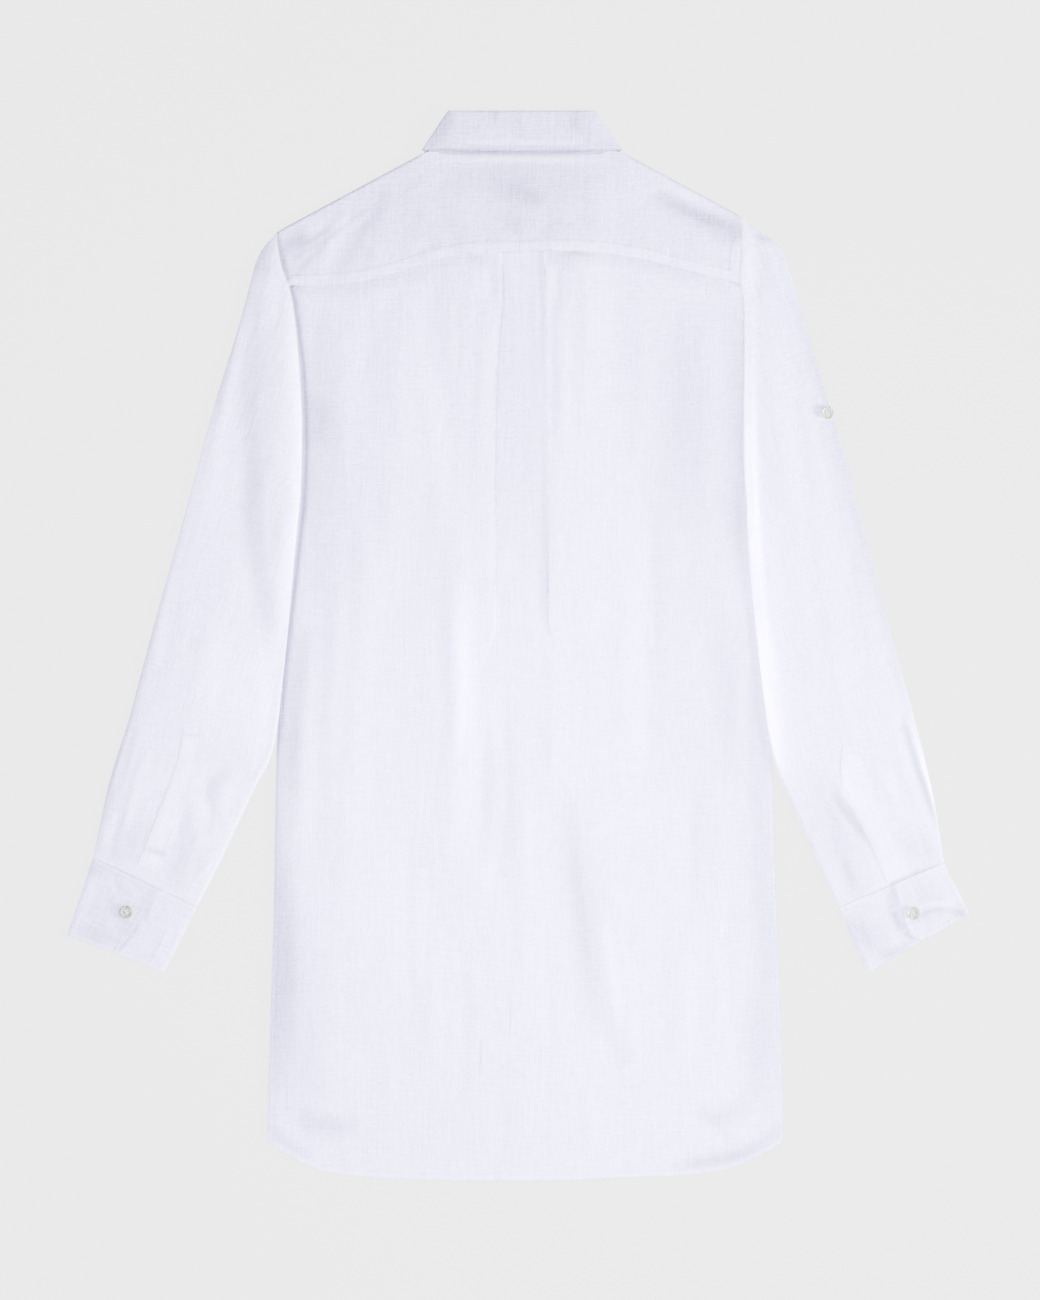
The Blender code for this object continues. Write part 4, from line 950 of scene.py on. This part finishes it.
class DRESS_OT_sleeves(bpy.types.Operator):
    """Lay the two sleeves beside the body"""

    bl_idname = "dress.sleeves"
    bl_label = "Sleeves"

    def execute(self, context):
        for node, name, creases, tones, turn in SLEEVES:
            sleeve, rims = fine_copy(node, name, 2, 22)
            mark_edges(sleeve, rims, lambda p: False)
            share, air = upper_share(sleeve, points_of(sleeve.data))
            crease(sleeve, creases, share, air, ease=6.0)
            dress_up(
                sleeve, node, tones, (0.44, 0.60), 0.107, FRONT_NODES, [],
                name=f"{name}_linen", turn=turn, rim_line=0.0,
            )
        return {"FINISHED"}


PLACKETS = (
    ("left", PLACKET_LEFT_PAINTED_SHADING, PLACKET_LEFT_SEWING, 0.31),
    ("right", PLACKET_RIGHT_PAINTED_SHADING, PLACKET_RIGHT_SEWING, -0.35),
)


class DRESS_OT_plackets(bpy.types.Operator):
    """Lay the strips that finish the sleeves' slits"""

    bl_idname = "dress.plackets"
    bl_label = "Plackets"

    def execute(self, context):
        for side, tones, runs, turn in PLACKETS:
            node, name, ground = f"sleeve_placket_{side}", f"{side}_placket", f"{side}_sleeve"
            placket, rims = fine_copy(node, name, 3)
            mark_edges(placket, rims)
            tree = surface_of(bpy.data.objects[ground])
            points = points_of(placket.data)
            below = hits(tree, points, 60, -1)
            under = hits(surface_of(placket), points, -20, 1)
            points[:, 2] += np.nan_to_num(below - PLACKET_SUNK - under)
            set_points(placket.data, points)
            lines = sewing(f"{name}_sewing", runs, placket)
            dress_up(
                placket, node, tones, (0.024, 0.14), 0.0024, [ground], [lines],
                name=f"{name}_linen", turn=turn, tone=1.16, band=1.9, doubling=0.0, rim_line=0.12,
            )
        return {"FINISHED"}


CUFFS = (
    ("cuff_left", "left_cuff", CUFF_LEFT_CREASES, CUFF_LEFT_PAINTED_SHADING, CUFF_LEFT_SEWING, 0.45),
    ("cuff_right", "right_cuff", CUFF_RIGHT_CREASES, CUFF_RIGHT_PAINTED_SHADING, CUFF_RIGHT_SEWING, -0.41),
)


class DRESS_OT_cuffs(bpy.types.Operator):
    """Lay the two buttoned cuffs"""

    bl_idname = "dress.cuffs"
    bl_label = "Cuffs"

    def execute(self, context):
        for node, name, creases, tones, runs, turn in CUFFS:
            cuff, rims = fine_copy(node, name, 3, 8)
            mark_edges(cuff, rims, depth=6.0)
            points = points_of(cuff.data)
            share = np.clip((points[:, 2] - 1.6) / 1.2, 0, 1)
            crease(cuff, creases, share, air=0.9, ease=4.0)
            lines = sewing(f"{name}_sewing", runs, cuff)
            dress_up(
                cuff, node, tones, (0.26, 0.075), 0.0135, [], [lines],
                name=f"{name}_linen", turn=turn, tone=0.92, band=4.3, rim_line=0.16,
            )
        return {"FINISHED"}


class DRESS_OT_collar(bpy.types.Operator):
    """Fold the collar leaf over its stand"""

    bl_idname = "dress.collar"
    bl_label = "Collar"

    def execute(self, context):
        leaf, rims = fine_copy("collar_leaf", "collar_fold", 3)
        mark_edges(leaf, rims, lambda p: p.y < 430)
        points = points_of(leaf.data)
        top = np.clip((points[:, 2] - 3.6) / 0.6, 0, 1)
        crease(leaf, COLLAR_CREASES, top, air=0.25, ease=4.0)
        lines = sewing("collar_sewing", COLLAR_SEWING, leaf)
        dress_up(
            leaf, "collar_leaf", COLLAR_PAINTED_SHADING, (0.46, 0.06), 0.0157, ["collar_stand"], [lines],
            name="collar_linen", tone=0.84, band=4.3, doubling=0.1,
        )
        stand, rims = fine_copy("collar_stand", "collar_band", 3)
        mark_edges(stand, rims, lambda p: False)
        crease(stand, NONE, 0.3, air=0.3, ease=4.0)
        dress_up(
            stand, "collar_stand", COLLAR_BAND_PAINTED_SHADING, (0.42, 0.045), 0.0126, ["yoke"], [],
            name="collar_band_linen", tone=0.97, rim_line=0.0,
        )
        return {"FINISHED"}


# Node, turn, tilt in degrees and painted shading of each button that shows, a factor that makes its shell
# lighter or darker
BUTTONS = (
    ("cuff_button_left", 0.35, 0.0, 1.0),
    ("cuff_button_right", 0.85, 0.0, 1.4),
    ("tab_button_right", 0.6, 9.0, 1.8),
)
HOLE_SPREAD = 1.5
HOLE_RADIUS = 0.8


def turned_button(name, radius):
    """A dished four-hole button about the origin, made in metres."""
    select_none()
    bpy.ops.mesh.primitive_cylinder_add(vertices=56, radius=radius, depth=2.2 * MM)
    button = bpy.context.active_object
    button.name = button.data.name = name
    bpy.ops.object.mode_set(mode="EDIT")
    body = bmesh.from_edit_mesh(button.data)
    bpy.ops.mesh.select_mode(type="FACE")
    for face in body.faces:
        face.select_set(face.normal.z < -0.9)
    bmesh.update_edit_mesh(button.data)
    bpy.ops.transform.resize(value=(0.84, 0.84, 1.0))
    for face in body.faces:
        face.select_set(face.normal.z > 0.9)
    bmesh.update_edit_mesh(button.data)
    for inset, drop in ((0.45, 0.0), (0.55, 0.12), (0.6, -0.45), (0.5, -0.25), (0.9, 0.06)):
        bpy.ops.mesh.inset(thickness=inset * MM)
        bpy.ops.transform.translate(value=(0, 0, drop * MM))
    bpy.ops.object.mode_set(mode="OBJECT")
    edges = button.modifiers.new("edges", "BEVEL")
    edges.width = 0.25 * MM
    edges.segments = 2
    edges.limit_method = "ANGLE"
    edges.angle_limit = math.radians(25)
    bpy.ops.object.modifier_apply(modifier=edges.name)
    for k in range(4):
        turn = math.radians(45 + 90 * k)
        spot = (HOLE_SPREAD * MM * math.cos(turn), HOLE_SPREAD * MM * math.sin(turn), 0)
        bpy.ops.mesh.primitive_cylinder_add(
            vertices=16, radius=HOLE_RADIUS * MM, depth=8 * MM, location=spot
        )
        drill = bpy.context.active_object
        select_only(button)
        hole = button.modifiers.new("hole", "BOOLEAN")
        hole.operation = "DIFFERENCE"
        hole.object = drill
        bpy.ops.object.modifier_apply(modifier=hole.name)
        bpy.data.objects.remove(drill)
    bpy.ops.object.shade_smooth_by_angle(angle=math.radians(35))
    return button


def button_thread(name):
    """Two arched bars of thread through the holes of a button about the origin."""
    bars = []
    for side in (-1, 1):
        select_none()
        bpy.ops.mesh.primitive_cylinder_add(vertices=8, radius=0.42 * MM, depth=3.4 * MM)
        bar = bpy.context.active_object
        edit_all()
        bpy.ops.transform.rotate(value=math.pi / 2, orient_axis="Y", center_override=(0, 0, 0))
        bpy.ops.mesh.bisect(plane_co=(0, 0, 0), plane_no=(1, 0, 0))
        for place in (-1.3, -0.9, 0.9, 1.3):
            bpy.ops.mesh.select_all(action="SELECT")
            bpy.ops.mesh.bisect(plane_co=(place * MM, 0, 0), plane_no=(1, 0, 0))
        bpy.ops.object.mode_set(mode="OBJECT")
        points = points_of(bar.data)
        points[:, 2] += 0.78 - 1.6 * np.clip(abs(points[:, 0]) - 0.7, 0, 1) ** 2
        points[:, 1] += side * HOLE_SPREAD * math.sqrt(0.5)
        set_points(bar.data, points)
        bars.append(bar)
    bars[0].select_set(True)
    bpy.ops.object.join()
    thread = bpy.context.active_object
    thread.name = thread.data.name = name
    bpy.ops.object.shade_smooth_by_angle(angle=math.radians(60))
    return thread


class DRESS_OT_buttons(bpy.types.Operator):
    """Sew on the shell buttons"""

    bl_idname = "dress.buttons"
    bl_label = "Buttons"

    def execute(self, context):
        for node, turn, tilt, tone in BUTTONS:
            low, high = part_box(node)
            button = turned_button(f"{node}_disc", (high.y - low.y) / 2)
            thread = button_thread(f"{node}_thread")
            seat = Matrix.Translation((low + high) / 2) @ Matrix.Rotation(math.radians(tilt), 4, "Y")
            for thing, slot in ((button, "shell"), (thread, "linen")):
                thing.data.transform(seat @ Matrix.Rotation(turn, 4, "Z"))
                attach(thing, "root")
            button.data.materials.append(shell(f"{node}_shell", tone))
            thread.data.materials.append(twisted_thread(f"{node}_cotton"))
            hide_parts(node)
        for node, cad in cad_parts.items():
            if node.startswith("front_button"):
                cad.data.materials.clear()
                cad.data.materials.append(shell(f"{node}_shell"))
        return {"FINISHED"}


class DRESS_OT_stage(bpy.types.Operator):
    """Set the floor, the lights and the camera"""

    bl_idname = "dress.stage"
    bl_label = "Stage"

    def execute(self, context):
        settings = context.scene.dress_stage
        select_none()
        bpy.ops.mesh.primitive_plane_add(size=8.0, location=(0, 0, -0.0002))
        floor = context.active_object
        floor.name = "studio_floor"
        floor.data.materials.append(floor_paper("studio_paper"))
        world = bpy.data.worlds.new("studio_air")
        world.use_nodes = True
        sky = world.node_tree.nodes["Background"]
        sky.inputs["Color"].default_value = (*context.scene.dress_colours.light, 1)
        sky.inputs["Strength"].default_value = settings.ambient
        context.scene.world = world
        for name, power, size, spot, aim in (
            ("key_light", settings.key, 0.5, (0.10, -0.15, 0.82), (0.10, -0.15, 0)),
            ("side_light", settings.side, 0.9, (3.2, -0.7, 0.9), (0, 0, 0)),
            ("far_side_light", settings.far_side, 0.9, (-3.0, -0.9, 1.0), (0, 0, 0)),
        ):
            bpy.ops.object.light_add(type="AREA", location=spot)
            light = context.active_object
            light.name = name
            light.data.energy = power
            light.data.size = size
            light.data.color = context.scene.dress_colours.light
            light.visible_camera = False
            light.rotation_euler = (Vector(aim) - Vector(spot)).to_track_quat("-Z", "Y").to_euler()
        bpy.ops.object.camera_add(location=(settings.view_x, settings.view_y, settings.distance))
        camera = context.active_object
        camera.name = "camera"
        camera.rotation_euler = (0, 0, 0)
        camera.data.lens = settings.lens
        camera.data.sensor_width = 36
        camera.data.clip_end = 50
        context.scene.camera = camera
        return {"FINISHED"}


class DRESS_PT_panel(bpy.types.Panel):
    """The dress's pieces and settings"""

    bl_label = "Linen Shirt Dress"
    bl_idname = "DRESS_PT_panel"
    bl_space_type = "VIEW_3D"
    bl_region_type = "UI"
    bl_category = "Dress"

    def draw(self, context):
        for group in (context.scene.dress_cloth, context.scene.dress_colours, context.scene.dress_stage):
            box = self.layout.box()
            for name in group.__annotations__:
                box.prop(group, name)
        for operator in OPERATORS:
            self.layout.operator(operator.bl_idname)


GROUPS = {"dress_cloth": DressCloth, "dress_colours": DressColours, "dress_stage": DressStage}
OPERATORS = (
    DRESS_OT_fronts, DRESS_OT_back, DRESS_OT_yoke, DRESS_OT_sleeves, DRESS_OT_plackets, DRESS_OT_cuffs,
    DRESS_OT_collar, DRESS_OT_buttons, DRESS_OT_stage,
)


def register():
    for made in (*GROUPS.values(), *OPERATORS, DRESS_PT_panel):
        bpy.utils.register_class(made)
    for name, group in GROUPS.items():
        setattr(bpy.types.Scene, name, PointerProperty(type=group))


def unregister():
    for name in GROUPS:
        delattr(bpy.types.Scene, name)
    for made in reversed((*GROUPS.values(), *OPERATORS, DRESS_PT_panel)):
        bpy.utils.unregister_class(made)


def main():
    register()
    for operator in OPERATORS:
        getattr(bpy.ops.dress, operator.bl_idname.split(".")[1])()


if __name__ == "__main__":
    main()
